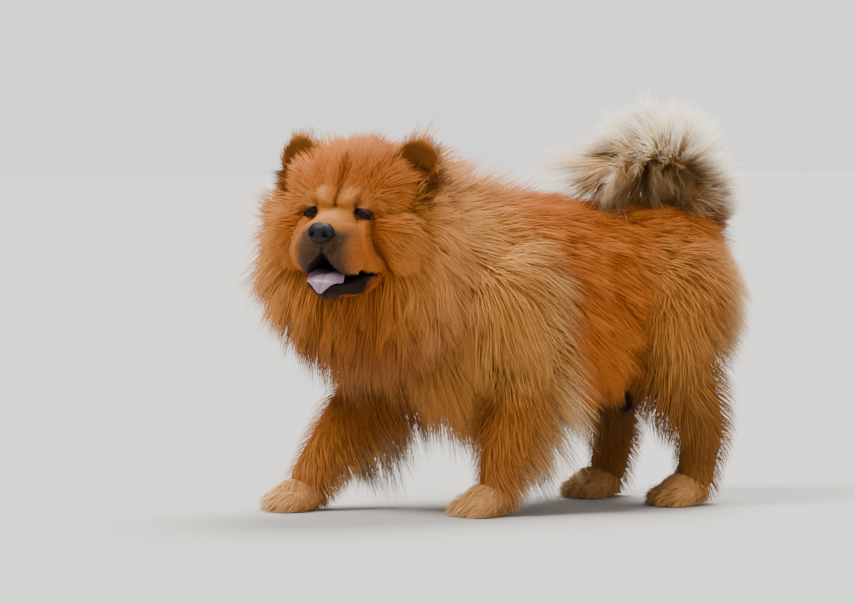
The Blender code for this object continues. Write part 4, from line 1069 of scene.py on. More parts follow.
def atlas_place(points, group):
    """The root's place on an unwrap of the skin round the group's own middle line: turn round it, and way along it."""
    if group == "head":
        local = to_head(points)
        turn = np.arctan2(local[:, 0], local[:, 2] + 0.02)
        way = (local[:, 1] + 0.19) / 0.36
    elif group == "mane":
        local = to_head(points)
        turn = np.arctan2(local[:, 0], local[:, 2] + 0.10)
        way = (local[:, 1] + 0.10) / 0.40
    elif group == "tail":
        turn = np.arctan2(points[:, 0], np.linalg.norm((points - PLUME_FROM)[:, 1:], axis=1) - 0.085)
        way = (np.arctan2(points[:, 2] - PLUME_FROM[2], points[:, 1] - PLUME_FROM[1]) + 1.2) / 4.4
    elif group == "legs":
        leg = (points[:, 0] > 0) * 1.0 + (points[:, 1] > 0.02) * 2.0
        middle_y = np.where(points[:, 1] > 0.02, 0.22, np.where(points[:, 0] > 0, -0.14, -0.29))
        turn = np.arctan2(np.abs(points[:, 0]) - 0.105, points[:, 1] - middle_y)
        column = (leg + 0.02 + 0.95 * (turn / (2 * np.pi) + 0.5)) / 4
        return np.stack([column, 0.99 * np.clip(points[:, 2] / 0.42, 0, 1)], 1)
    else:
        turn = np.arctan2(points[:, 0], points[:, 2] - 0.37)
        way = (points[:, 1] + 0.30) / 0.66
    return np.stack([0.99 * (turn / (2 * np.pi) + 0.5), 0.99 * np.clip(way, 0, 1)], 1)


def grow(
    skin,
    name,
    group,
    weight,
    count,
    width,
    seed,
    kind=LONG,
    clump=0.24,
    clump_size=50,
    droop=0.08,
    spread=0.045,
    skyward=0.12,
    bend=0.10,
    lean=0.60,
):
    """One coat piece: roots spread by an even comb over area times weight, tufts drawn towards the nearest clump's
    middle tuft by clump. Droop and bend are shares of the length, spread turns whole clumps, and skyward and lean tilt
    the shading up and towards the skin's normal."""
    draw = np.random.default_rng(seed)
    weight = np.where(skin.hidden, 0.0, weight)
    corners = skin.triangles
    a, b, c = (skin.points[corners[:, k]] for k in range(3))
    area = np.linalg.norm(np.cross(b - a, c - a), axis=1)
    run = np.cumsum(area * weight[corners].mean(1))
    comb = (np.arange(count) + draw.random(count)) * run[-1] / count
    pick = np.minimum(np.searchsorted(run, comb), len(corners) - 1)
    r1, r2 = np.sqrt(draw.random(count)), draw.random(count)
    share = np.stack([1 - r1, r1 * (1 - r2), r1 * r2], 1)[:, :, None]

    def at_roots(field):
        field = field[:, None] if field.ndim == 1 else field
        return (field[corners[pick]] * share).sum(1)

    root = at_roots(skin.points)
    normal = unit(at_roots(skin.normals))
    lie = unit(at_roots(skin.lie))
    length = at_roots(skin.length)[:, 0]
    out = at_roots(skin.out)[:, 0]
    values = {key: at_roots(mask)[:, 0] for key, mask in skin.masks.items()}
    grizzle = (draw.random(count) - 0.5) * 0.45 * np.minimum(1, 4 * values["grey"])
    values["grey"] = np.clip(values["grey"] + grizzle, 0, 1)
    guides = draw.choice(count, max(count // clump_size, 8), replace=False)
    nearest = np.empty(count, int)
    for start in range(0, count, ROOT_BLOCK):
        block = slice(start, start + ROOT_BLOCK)
        apart = ((root[block, None] - root[guides][None]) ** 2).sum(2)
        nearest[block] = apart.argmin(1)
    group_lie = draw.normal(0, spread, (len(guides), 3))
    group_length = draw.uniform(0.86, 1.08, len(guides))
    group_tone = draw.random(len(guides))
    group_bend = draw.normal(0, bend, (len(guides), 3))
    outward = np.clip(dot(lie, normal), 0.0, 0.55)
    level = unit(lie - normal * dot(lie, normal))
    lie = unit(unit(level + normal * outward) + group_lie[nearest] + draw.normal(0, 0.055, (count, 3)))
    layer = np.where(draw.random(count) < 0.28, draw.uniform(0.50, 0.85, count), draw.uniform(0.88, 1.06, count))
    length = length * group_length[nearest] * draw.uniform(0.88, 1.08, count)
    out = out * layer * (0.55 + 0.45 * group_length[nearest])
    fall = droop * length * (0.6 + 0.8 * draw.random(count))
    steps = kind[0]
    line = paths(root - normal * ROOT_SUNK, normal, lie, length, out, fall, steps)
    curve = (group_bend[nearest] + draw.normal(0, 0.35 * bend, (count, 3))) * length[:, None]
    line = line + curve[:, None] * (steps**2)[None, :, None]
    middle = line[guides[nearest]]
    pull = clump * (0.7 + 0.3 * draw.random(count))[:, None, None] * (steps**1.6)[None, :, None]
    line = line + (middle - line) * pull
    line[:, :, 2] = np.maximum(line[:, :, 2], FLOOR_GAP)
    width = width * draw.uniform(0.7, 1.25, count)
    values["tone"] = np.clip(0.55 * group_tone[nearest] + 0.45 * draw.random(count), 0, 1)
    return tuft_mesh(name, line, normal, width, atlas_place(root, group), values, kind, skyward, lean)


# ------- materials
def node(tree, kind, place, **inputs):
    """A node of this kind, at this place, with inputs set or linked by name, or by number as _0, _1 and so on."""
    made = tree.nodes.new(kind)
    made.location = place
    for key, value in inputs.items():
        socket = made.inputs[int(key[1:]) if key[0] == "_" else key.replace("_", " ")]
        if isinstance(value, bpy.types.NodeSocket):
            tree.links.new(value, socket)
        else:
            socket.default_value = value
    return made


def mixed(tree, place, share, first, second, blend="MIX"):
    """The colour between two, by a share."""
    made = tree.nodes.new("ShaderNodeMix")
    made.data_type = "RGBA"
    made.blend_type = blend
    made.location = place
    for index, value in ((0, share), (6, first), (7, second)):
        if isinstance(value, bpy.types.NodeSocket):
            tree.links.new(value, made.inputs[index])
        else:
            made.inputs[index].default_value = value
    return made.outputs[2]


def counted(tree, place, operation, first, second=0.5, clamp=False):
    """The result of a sum on two values, each a number or a socket."""
    made = tree.nodes.new("ShaderNodeMath")
    made.operation = operation
    made.use_clamp = clamp
    made.location = place
    for index, value in ((0, first), (1, second)):
        if isinstance(value, bpy.types.NodeSocket):
            tree.links.new(value, made.inputs[index])
        else:
            made.inputs[index].default_value = value
    return made.outputs[0]


def scaled(colour, share):
    """A colour with its red, green and blue times a share."""
    return tuple(share * c for c in colour[:3]) + (1,)


COLOUR_KEYS = ("red", "gold", "cream", "brown", "grey", "black")
MASK_KEYS = ("gold", "cream", "brown", "grey", "black")


def coat_colour_group():
    """Coat colour from its masks: red, then gold, cream, brown, grey and black over it, darker at the root
    by painted shade deep in the coat and paler at the tip, with a little more or less of all of it by tone and grain."""
    found = bpy.data.node_groups.get("coat colour")
    if found:
        return found
    tree = bpy.data.node_groups.new("coat colour", "ShaderNodeTree")
    tree.interface.new_socket("Color", in_out="OUTPUT", socket_type="NodeSocketColor")
    for key in COLOUR_KEYS:
        tree.interface.new_socket(f"{key} colour", in_out="INPUT", socket_type="NodeSocketColor")
    for key in MASK_KEYS + ("along", "tone", "grain"):
        tree.interface.new_socket(key, in_out="INPUT", socket_type="NodeSocketFloat")
    start = tree.nodes.new("NodeGroupInput")
    start.location = (-900, 0)
    socket = {item.name: item for item in start.outputs}
    tip = counted(tree, (-700, -300), "POWER", socket["along"], 1.4)
    lift = counted(tree, (-520, -300), "MULTIPLY", tip, 0.20)
    base = mixed(tree, (-700, 0), socket["gold"], socket["red colour"], socket["gold colour"])
    base = mixed(tree, (-520, 0), lift, base, socket["gold colour"])
    paler = counted(tree, (-520, 200), "MULTIPLY_ADD", socket["along"], 1.20)
    paler.node.inputs[2].default_value = -0.02
    paler = counted(tree, (-340, 200), "MULTIPLY", paler, socket["cream"], clamp=True)
    base = mixed(tree, (-340, 0), paler, base, socket["cream colour"])
    base = mixed(tree, (-160, 0), socket["brown"], base, socket["brown colour"])
    base = mixed(tree, (20, 0), socket["grey"], base, socket["grey colour"])
    base = mixed(tree, (200, 0), socket["black"], base, socket["black colour"])
    # Painted shade deep in the coat: a tuft darkens towards its root, less where it is cream.
    root = tree.nodes.new("ShaderNodeMapRange")
    root.location = (-340, -300)
    tree.links.new(socket["along"], root.inputs[0])
    for index, value in ((1, 0.0), (2, 0.60), (3, 0.70), (4, 1.0)):
        root.inputs[index].default_value = value
    vary = counted(tree, (-340, -520), "MULTIPLY_ADD", socket["tone"], 0.20)
    vary.node.inputs[2].default_value = 0.90
    grain = counted(tree, (-160, -520), "MULTIPLY_ADD", socket["grain"], 0.30)
    grain.node.inputs[2].default_value = 0.85
    pale = tree.nodes.new("ShaderNodeMapRange")
    pale.location = (-160, -300)
    tree.links.new(socket["cream"], pale.inputs[0])
    tree.links.new(root.outputs[0], pale.inputs[3])
    pale.inputs[4].default_value = 0.95
    value = counted(tree, (20, -300), "MULTIPLY", pale.outputs[0], vary)
    value = counted(tree, (200, -300), "MULTIPLY", value, grain)
    shade = node(tree, "ShaderNodeHueSaturation", (400, 0), Value=value, Color=base)
    finish = tree.nodes.new("NodeGroupOutput")
    finish.location = (600, 0)
    tree.links.new(shade.outputs[0], finish.inputs[0])
    return tree


def new_material(name):
    """A material with one Principled shader, its node tree and that shader."""
    material = bpy.data.materials.new(name)
    material.use_nodes = True
    tree = material.node_tree
    tree.nodes.clear()
    shader = node(tree, "ShaderNodeBsdfPrincipled", (500, 0))
    out = node(tree, "ShaderNodeOutputMaterial", (800, 0), Surface=shader.outputs[0])
    out.target = "ALL"
    return material, tree, shader


def value_of(tree, name, place):
    """A float of the mesh's points."""
    made = tree.nodes.new("ShaderNodeAttribute")
    made.attribute_name = name
    made.location = place
    return made.outputs["Fac"]


def seen_normal(tree):
    """The shading normal, turned towards the viewer where it points away: n + 1.3 max(0, 0.15 - n.i) i."""
    place = node(tree, "ShaderNodeNewGeometry", (-700, -700))
    facing = tree.nodes.new("ShaderNodeVectorMath")
    facing.operation = "DOT_PRODUCT"
    facing.location = (-500, -700)
    tree.links.new(place.outputs["Normal"], facing.inputs[0])
    tree.links.new(place.outputs["Incoming"], facing.inputs[1])
    lack = counted(tree, (-330, -700), "SUBTRACT", 0.15, facing.outputs["Value"], clamp=True)
    lack = counted(tree, (-160, -700), "MULTIPLY", lack, 1.3)
    turned = tree.nodes.new("ShaderNodeVectorMath")
    turned.operation = "MULTIPLY_ADD"
    turned.location = (20, -700)
    tree.links.new(place.outputs["Incoming"], turned.inputs[0])
    tree.links.new(lack, turned.inputs[1])
    tree.links.new(place.outputs["Normal"], turned.inputs[2])
    level = tree.nodes.new("ShaderNodeVectorMath")
    level.operation = "NORMALIZE"
    level.location = (200, -700)
    tree.links.new(turned.outputs["Vector"], level.inputs[0])
    return level.outputs["Vector"]


def coat_material(name, settings, skin=False, through=0.15, plume=False):
    """Fur's finish: its colour group fed by the masks and a fine grain, dull, with light let through the tufts by the
    share given, and relief and wet lips on the skin. The plume's white fades towards its root and front by place."""
    found = bpy.data.materials.get(name)
    if found:
        return found
    material, tree, shader = new_material(name)
    group = node(tree, "ShaderNodeGroup", (250, 0))
    group.node_tree = coat_colour_group()
    for key in COLOUR_KEYS:
        group.inputs[f"{key} colour"].default_value = (*getattr(settings, key), 1.0)
    for row, key in enumerate(MASK_KEYS + ("along", "tone")):
        tree.links.new(value_of(tree, key, (-200, 500 - 170 * row)), group.inputs[key])
    where = node(tree, "ShaderNodeTexCoord", (-700, -300))
    scale = 420.0 if skin else 260.0
    noise = node(tree, "ShaderNodeTexNoise", (-480, -300), Vector=where.outputs["Object"], Scale=scale, Detail=3.0)
    tree.links.new(noise.outputs[0], group.inputs["grain"])
    if plume:
        place = node(tree, "ShaderNodeSeparateXYZ", (-700, 900), Vector=where.outputs["Object"])
        high = counted(tree, (-520, 900), "MULTIPLY_ADD", place.outputs[1], 0.80)
        tree.links.new(place.outputs[2], high.node.inputs[2])
        white = node(tree, "ShaderNodeMapRange", (-340, 900), _0=high, _1=0.725, _2=0.835, _3=0.22, _4=1.0)
        mask = value_of(tree, "cream", (-340, 1150))
        tree.links.new(counted(tree, (-160, 900), "MULTIPLY", mask, white.outputs[0]), group.inputs["cream"])
    tree.links.new(group.outputs[0], shader.inputs["Base Color"])
    shader.inputs["Roughness"].default_value = 0.62
    shader.inputs["Specular IOR Level"].default_value = 0.02
    if not skin:
        shader.inputs["Subsurface Weight"].default_value = through
        shader.inputs["Subsurface Radius"].default_value = (1.0, 0.95, 0.85)
        shader.inputs["Subsurface Scale"].default_value = 0.004
        tree.links.new(seen_normal(tree), shader.inputs["Normal"])
    if skin:
        relief = node(tree, "ShaderNodeBump", (250, -500), Height=noise.outputs[0], Strength=0.55, Distance=0.0012)
        tree.links.new(relief.outputs[0], shader.inputs["Normal"])
        black = value_of(tree, "black", (0, -700))
        wet = node(tree, "ShaderNodeMapRange", (250, -800), _0=black, _3=0.62, _4=0.38)
        tree.links.new(wet.outputs[0], shader.inputs["Roughness"])
    return material


def dress(obj, material, slot, *nodes):
    """The material on, the body it rides, and the nodes it replaces. The slot is not used."""
    obj.data.materials.append(material)
    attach(obj, "root")
    if nodes:
        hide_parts(*nodes)
    return obj


# ------- settings
def colour_setting(name, description, default):
    return bpy.props.FloatVectorProperty(name=name, description=description, subtype="COLOR", size=3, default=default)


def length_setting(name, description, default, low, high):
    return bpy.props.FloatProperty(
        name=name, description=description, default=default, min=low, max=high, unit="LENGTH"
    )


def light_setting(name, description, default, high):
    return bpy.props.FloatProperty(name=name, description=description, default=default, min=0.0, max=high)


class ChowCoat(bpy.types.PropertyGroup):
    """Colours of the coat, and how fine and how dense it is."""

    red: colour_setting("Red", "Deepest coat colour", (0.47, 0.104, 0.014))
    gold: colour_setting("Gold", "Coat colour of the mane and cape", (0.76, 0.335, 0.080))
    cream: colour_setting("Cream", "Coat colour of plume and breeches", (1.0, 0.82, 0.47))
    # Brown_and_shade: the colour of the ears' insides, also laid on the coat as painted shade.
    brown: colour_setting("Brown", "Coat colour inside the ears", (0.085, 0.020, 0.005))
    grey: colour_setting("Grey", "Grizzle of the muzzle", (0.080, 0.050, 0.032))
    black: colour_setting("Black", "Lips, lids and pads", (0.012, 0.010, 0.010))
    density: bpy.props.FloatProperty(
        name="Density",
        description="Share of the full number of tufts",
        default=1.0,
        min=0.05,
        max=1.0,
        subtype="FACTOR",
    )
    width: length_setting("Tuft width", "Width of a body tuft", 0.0015, 0.0005, 0.01)


class ChowBody(bpy.types.PropertyGroup):
    """How finely the skin is built."""

    body_voxel: length_setting("Body grain", "Size of the body skin's facets", 0.0066, 0.002, 0.02)
    head_voxel: length_setting("Head grain", "Size of the head skin's facets", 0.0025, 0.001, 0.01)
    paw_voxel: length_setting("Paw grain", "Size of the paw skin's facets", 0.0040, 0.001, 0.01)


class ChowFace(bpy.types.PropertyGroup):
    """Eyes, nose, tongue and claws."""

    eye_radius: length_setting("Eye radius", "Radius of each eyeball", 0.0120, 0.005, 0.02)
    iris: colour_setting("Iris", "Colour of the iris", (0.010, 0.004, 0.002))
    leather: colour_setting("Nose leather", "Colour of the nose", (0.0045, 0.0042, 0.0046))
    tongue: colour_setting("Tongue", "Colour of the tongue", (0.270, 0.170, 0.225))
    claw: colour_setting("Claws", "Colour of the claws", (0.085, 0.062, 0.048))


class ChowStage(bpy.types.PropertyGroup):
    """Floor, light and camera."""

    floor: colour_setting("Floor", "Colour of the floor", (0.50, 0.49, 0.475))
    key_power: light_setting("Key light", "Strength of the main light", 4.4, 20.0)
    air: light_setting("Air", "Strength of the light from all round", 0.42, 5.0)
    backdrop: light_setting("Backdrop", "Brightness of what is seen beyond the floor", 1.55, 5.0)
    distance: length_setting("Camera distance", "From the middle of the body", 7.0, 2.0, 20.0)


# The skin as the skin step made it, for the coat step.
SKIN = {}


# ------- pieces
class CHOW_OT_skin(bpy.types.Operator):
    """Builds the one skin of body, paws and head, with its markings"""

    bl_idname = "chow.skin"
    bl_label = "Skin"

    def execute(self, context):
        sizes = context.scene.chow_body
        skin = Skin(sizes.body_voxel, sizes.head_voxel, sizes.paw_voxel)
        SKIN["skin"] = skin
        obj = put_mesh("skin", skin.points, skin.triangles)
        for key, mask in skin.masks.items():
            set_values(obj.data, key, mask)
        short = skin.share[:, PART["head"]] * short_coat(to_head(skin.points))
        # Painted shade under the coat: the skin gets the tufts' root darkening, none on the short-coated face, little
        # on paws.
        set_values(obj.data, "along", 0.30 + 0.45 * short + 0.25 * skin.share[:, PART["paw"]])
        set_values(obj.data, "tone", np.full(len(skin.points), 0.5))
        flesh = ["torso", "neck", "head", "lower_jaw", "ear_left", "ear_right", "tail"]
        for limb in ("fore_left", "fore_right", "hind_left", "hind_right"):
            flesh += [f"leg_{limb}", f"paw_{limb}"]
        dress(obj, coat_material("skin", context.scene.chow_coat, skin=True), "coat_orange", *flesh)
        return {"FINISHED"}


def eye_surface(side, radius):
    """An eyeball with its cornea: radius * (1 + 0.045 bell(way from the front)), gridded from front pole to back pole.
    Also says each point's way from front to back, as a share."""
    turn, way = np.meshgrid(np.arange(40) * 2 * np.pi / 40, np.linspace(0, np.pi, 29)[1:-1])
    size = radius * (1 + 0.045 * bump(way, 0.50))
    ring = np.stack([size * np.sin(way) * np.cos(turn), -size * np.cos(way), size * np.sin(way) * np.sin(turn)], -1)
    points = np.vstack([ring.reshape(-1, 3), [(0, -radius * 1.045, 0), (0, radius, 0)]])
    polar = np.append(way.ravel(), (0.0, np.pi)) / np.pi
    look = np.array(Matrix.Rotation(side * radians(8), 3, "Z"))
    place = (EYE_AT + EYE_SUNK) * (side, 1, 1)
    return points @ look.T + place, globe_triangles(*way.shape), polar


class CHOW_OT_eyes(bpy.types.Operator):
    """Builds both eyeballs, with iris and pupil"""

    bl_idname = "chow.eyes"
    bl_label = "Eyes"

    def execute(self, context):
        face = context.scene.chow_face
        material, tree, shader = new_material("eye")
        polar = value_of(tree, "polar", (-500, 0))
        pupil = node(tree, "ShaderNodeMapRange", (-300, 100), _0=polar, _1=0.075, _2=0.095)
        white = node(tree, "ShaderNodeMapRange", (-300, -150), _0=polar, _1=0.20, _2=0.25)
        iris = mixed(tree, (0, 100), pupil.outputs[0], (0.004, 0.003, 0.003, 1), (*face.iris, 1))
        base = mixed(tree, (200, 0), white.outputs[0], iris, (0.030, 0.018, 0.014, 1))
        tree.links.new(base, shader.inputs["Base Color"])
        shader.inputs["Roughness"].default_value = 0.20
        shader.inputs["Specular IOR Level"].default_value = 0.12
        shader.inputs["Coat Weight"].default_value = 0.10
        shader.inputs["Coat Roughness"].default_value = 0.04
        for word, side in (("left", 1), ("right", -1)):
            points, faces, polar = eye_surface(side, face.eye_radius)
            obj = put_mesh(f"eyeball_{word}", from_head(points), faces)
            set_values(obj.data, "polar", polar)
            dress(obj, material, "eye", f"eye_{word}")
        return {"FINISHED"}


def lid_surface(side, radius):
    """Both lids of one eye as a patch of a slightly larger ball. Its inner edge is an almond that slants down outwards,
    and its outer edge is an oval under the skin. Way 0 is the almond and 1 the oval."""
    turn, way = np.meshgrid(np.arange(48) * 2 * np.pi / 48, np.linspace(0, 1, 12))
    across, up = np.cos(turn), np.sin(turn)
    slit = slanted(LID_SLIT[0] * across, LID_SLIT[1] * signed_power(up, 1.2))
    outer = slanted(LID_OUTER[0] * across, LID_OUTER[1] * up)
    flat = slit * (1 - way[..., None]) + outer * way[..., None]
    size = radius + 0.0005 + 0.0003 * np.sin(np.pi * np.clip(way * 1.6, 0, 1)) + 0.0003 * way
    size = np.where(way < 0.01, radius + 0.0001, size)
    depth = -np.sqrt(np.maximum(size**2 - (flat**2).sum(-1), (0.30 * radius) ** 2))
    points = np.stack([flat[..., 0] * side, depth, flat[..., 1]], -1).reshape(-1, 3)
    return points + (EYE_AT + EYE_SUNK) * (side, 1, 1), grid_faces(12, 48, closed=True), way.ravel()


class CHOW_OT_lids(bpy.types.Operator):
    """Builds the lids round both eyes, dark at their rims"""

    bl_idname = "chow.lids"
    bl_label = "Eyelids"

    def execute(self, context):
        face = context.scene.chow_face
        material = coat_material("lid", context.scene.chow_coat, skin=True)
        for word, side in (("left", 1), ("right", -1)):
            points, faces, way = lid_surface(side, face.eye_radius)
            obj = put_mesh(f"lids_{word}", from_head(points), faces[:, ::-1] if side > 0 else faces)
            set_values(obj.data, "black", 0.85 + 0.15 * ease(0.9, 0.5, way))
            set_values(obj.data, "brown", ease(1.0, 0.5, way))
            for key, value in (("cream", 0.0), ("grey", 0.0), ("gold", 0.3), ("along", 0.5), ("tone", 0.4)):
                set_values(obj.data, key, np.full(len(way), value))
            wall = obj.modifiers.new("wall", "SOLIDIFY")
            wall.thickness = 0.0009
            wall.offset = -1.0
            dress(obj, material, "eye")
        return {"FINISHED"}


def nose_surface():
    """The nose leather: an ellipsoid, squarer in front, with comma-shaped nostrils sunk by bells, wings swelling round
    them and a groove down the middle. Also gives each point's painted shade: how deep in a nostril it lies, and
    half as much in the groove."""
    turn, way = np.meshgrid(np.arange(96) * 2 * np.pi / 96, np.linspace(0, np.pi, 65)[1:-1])
    x = signed_power(np.sin(way), 0.85) * signed_power(np.cos(turn), 0.92)
    z = signed_power(np.sin(way), 0.85) * signed_power(np.sin(turn), 0.92)
    y = -signed_power(np.cos(way), 0.80)
    points = np.stack([x, y, z], -1).reshape(-1, 3)
    points = np.vstack([points, [(0, -1, 0), (0, 1, 0)]]) * np.array(NOSE_RADII)
    px, pz = np.abs(points[:, 0]), points[:, 2]
    front = ease(0.2, -0.4, points[:, 1] / NOSE_RADII[1])
    points[:, 0] *= 1 - 0.20 * ease(-0.004, -0.016, pz)
    hole = bump(np.hypot((px - 0.0105) / 1.05, (pz + 0.0010) / 1.15), 0.0044)
    slit = bump(np.hypot((px - 0.0170) / 1.6, (pz + 0.0058 + 0.25 * (px - 0.017)) / 0.55), 0.0040)
    deep = np.clip(hole + 0.65 * slit, 0, 1) * front
    wing = bump(np.hypot(px - 0.0165, pz - 0.0010), 0.0065) * front
    groove = bump(px, 0.0016) * ease(0.006, -0.004, pz) * front
    points[:, 1] += 0.0090 * deep**1.4 - 0.0014 * wing + 0.0016 * groove
    points[:, 2] += 0.0010 * bump(px - 0.011, 0.006) * ease(0.004, 0.012, pz)
    return points + NOSE_AT, globe_triangles(*way.shape), np.clip(deep + 0.5 * groove, 0, 1)


class CHOW_OT_nose(bpy.types.Operator):
    """Builds the nose leather with its nostrils and its pebbled grain"""

    bl_idname = "chow.nose"
    bl_label = "Nose"

    def execute(self, context):
        points, faces, deep = nose_surface()
        obj = put_mesh("nose_leather", from_head(points), faces)
        set_values(obj.data, "deep", deep)
        material, tree, shader = new_material("nose leather")
        where = node(tree, "ShaderNodeTexCoord", (-900, 0))
        cells = node(tree, "ShaderNodeTexVoronoi", (-650, -100), Vector=where.outputs["Object"], Scale=900.0)
        cloud = node(tree, "ShaderNodeTexNoise", (-650, 200), Vector=where.outputs["Object"], Scale=120.0, Detail=4.0)
        leather = (*context.scene.chow_face.leather, 1)
        base = mixed(tree, (-200, 100), cloud.outputs[0], leather, scaled(leather, 2.1))
        # Painted shade in the nostrils and the groove, darkest where deepest.
        base = mixed(tree, (0, 100), value_of(tree, "deep", (-400, -350)), base, (0.004, 0.004, 0.004, 1))
        tree.links.new(base, shader.inputs["Base Color"])
        relief = node(tree, "ShaderNodeBump", (250, -300), Height=cells.outputs[0], Strength=0.5, Distance=0.0006)
        tree.links.new(relief.outputs[0], shader.inputs["Normal"])
        shader.inputs["Roughness"].default_value = 0.46
        shader.inputs["Specular IOR Level"].default_value = 0.20
        shader.inputs["Coat Weight"].default_value = 0.03
        shader.inputs["Coat Roughness"].default_value = 0.25
        dress(obj, material, "nose_leather", "nose")
        return {"FINISHED"}


def tongue_surface():
    """A blade along its own path: width and thickness from the rows, a groove down its middle, and edges that curl over
    the lip where it bends."""
    count, columns = 40, 15
    rows = along(TONGUE, count)
    ahead = np.gradient(rows[:, :2], axis=0)
    normal = unit(np.stack([0 * rows[:, 0], ahead[:, 1], -ahead[:, 0]], 1))
    normal *= np.sign(normal[:, 2:] + 1e-9)
    u = np.linspace(-1, 1, columns)[None]
    half, thick = rows[:, 2:3], rows[:, 3:4]
    bend = bump(rows[:, 0:1] + 0.134, 0.012)
    wave = 0.0045 * np.abs(u) ** 2 * (1 - 1.0 * bend) - 0.0100 * bend * np.abs(u) ** 2.5 - 0.0013 * bump(u, 0.16)
    sheets = []
    for sign in (1, -1):
        lift = wave + sign * thick / 2 * np.sqrt(np.maximum(1 - np.abs(u) ** 3, 0.04))
        place = np.stack([half * u, rows[:, 0:1] + 0 * u, rows[:, 1:2] + 0 * u], -1)
        sheets.append(place + normal[:, None] * lift[..., None])
    ring = np.concatenate([sheets[0], sheets[1][:, ::-1]], 1)
    # Painted shade along the middle groove, for the material.
    groove = np.concatenate([bump(u, 0.10), bump(u[:, ::-1], 0.10)], 1) + np.zeros((count, 1))
    return ring.reshape(-1, 3), blade_faces(count, columns), groove.ravel()


class CHOW_OT_tongue(bpy.types.Operator):
    """Builds the tongue that hangs over the lower lip"""

    bl_idname = "chow.tongue"
    bl_label = "Tongue"

    def execute(self, context):
        points, faces, groove = tongue_surface()
        obj = put_mesh("tongue_blade", from_head(points), faces[:, ::-1])
        set_values(obj.data, "groove", groove)
        smooth = obj.modifiers.new("smooth", "SUBSURF")
        smooth.levels = 1
        smooth.render_levels = 1
        material, tree, shader = new_material("tongue")
        where = node(tree, "ShaderNodeTexCoord", (-900, 0))
        cloud = node(tree, "ShaderNodeTexNoise", (-650, 200), Vector=where.outputs["Object"], Scale=90.0, Detail=3.0)
        buds = node(tree, "ShaderNodeTexVoronoi", (-650, -100), Vector=where.outputs["Object"], Scale=1100.0)
        pale = (*context.scene.chow_face.tongue, 1)
        base = mixed(tree, (-200, 100), cloud.outputs[0], pale, scaled(pale, 0.8))
        # Painted shade down the middle groove.
        base = mixed(tree, (0, 100), value_of(tree, "groove", (-400, -350)), base, scaled(pale, 0.55))
        tree.links.new(base, shader.inputs["Base Color"])
        relief = node(tree, "ShaderNodeBump", (250, -300), Height=buds.outputs[0], Strength=0.25, Distance=0.0004)
        tree.links.new(relief.outputs[0], shader.inputs["Normal"])
        shader.inputs["Roughness"].default_value = 0.38
        shader.inputs["Coat Weight"].default_value = 0.12
        shader.inputs["Coat Roughness"].default_value = 0.25
        dress(obj, material, "tongue", "tongue")
        return {"FINISHED"}


def claw_surfaces():
    """Sixteen claws: each a ring carried along a bend, its radius 0.0034 (1 - s^1.5)^0.62 at share s of the length."""
    rings, sides = 12, 12
    s, turn = np.meshgrid(np.linspace(0, 0.985, rings), np.arange(sides) * 2 * np.pi / sides, indexing="ij")
    radius = 0.0034 * (1 - s**1.5) ** 0.62
    path_y = -0.0125 * np.sin(s * 1.35)
    path_z = -0.0085 * (1 - np.cos(s * 1.35))
    tilt = s * 1.2
    own = np.stack([
        0.85 * radius * np.cos(turn),
        path_y + radius * np.sin(turn) * np.sin(tilt),
        path_z + radius * np.sin(turn) * np.cos(tilt),
    ], -1).reshape(-1, 3)
    caps = np.array([(0, k, k + 1, k + 2) for k in range(1, sides - 1, 2)])
    faces = np.vstack([grid_faces(rings, sides, closed=True), caps[:, ::-1], (rings - 1) * sides + caps])
    shells = []
    for x, y in paw_places():
        for across, reach in zip(TOE_SPREAD, TOE_REACH):
            shells.append((own + np.array((x + across, y - reach - 0.0165, 0.0125)), faces))
    return joined(*shells)


class CHOW_OT_claws(bpy.types.Operator):
    """Builds the claws, one on each toe"""

    bl_idname = "chow.claws"
    bl_label = "Claws"

    def execute(self, context):
        points, faces = claw_surfaces()
        points[:, 2] = np.maximum(points[:, 2], 0.0008)
        obj = put_mesh("claws", points, faces)
        material, tree, shader = new_material("claw")
        where = node(tree, "ShaderNodeTexCoord", (-900, 0))
        cloud = node(tree, "ShaderNodeTexNoise", (-650, 200), Vector=where.outputs["Object"], Scale=500.0, Detail=2.0)
        horn = (*context.scene.chow_face.claw, 1)
        base = mixed(tree, (-200, 100), cloud.outputs[0], horn, scaled(horn, 2.0))
        tree.links.new(base, shader.inputs["Base Color"])
        shader.inputs["Roughness"].default_value = 0.35
        dress(obj, material, "nose_leather")
        return {"FINISHED"}


# How the tufts of each group gather, bend and are shaded, where that isn't as grow says.
FLANK = {"kind": SHORT, "clump": 0.15, "lean": 0.75}
MANE_FRONT = {"droop": 0.12, "spread": 0.09, "bend": 0.17, "skyward": 0.05, "clump": 0.19, "lean": 0.72}
MANE_BACK = {"droop": 0.08, "spread": 0.06, "bend": 0.13, "clump": 0.15, "lean": 0.75}
HEAD = {"kind": SHORT, "clump": 0.16, "skyward": 0.0, "lean": 0.85}
FACE = {"kind": SHORT, "clump": 0.15, "clump_size": 16, "droop": 0.0, "skyward": 0.0, "lean": 0.85, "bend": 0.05}
LEGS = {"kind": SHORT, "clump": 0.12, "skyward": 0.50, "lean": 0.60}
PLUME = {"droop": 0.0, "spread": 0.15, "clump": 0.25, "skyward": 1.3, "bend": 0.14, "lean": 0.2}

# Tufts in a piece of short ones, of 10 triangles each, and of long ones, of 16, that keep it under 200,000 triangles.
SHORT_COUNT = 19000
LONG_COUNT = 12200
COAT_SLOTS = {"mane": "coat_ruff", "tail": "coat_cream"}


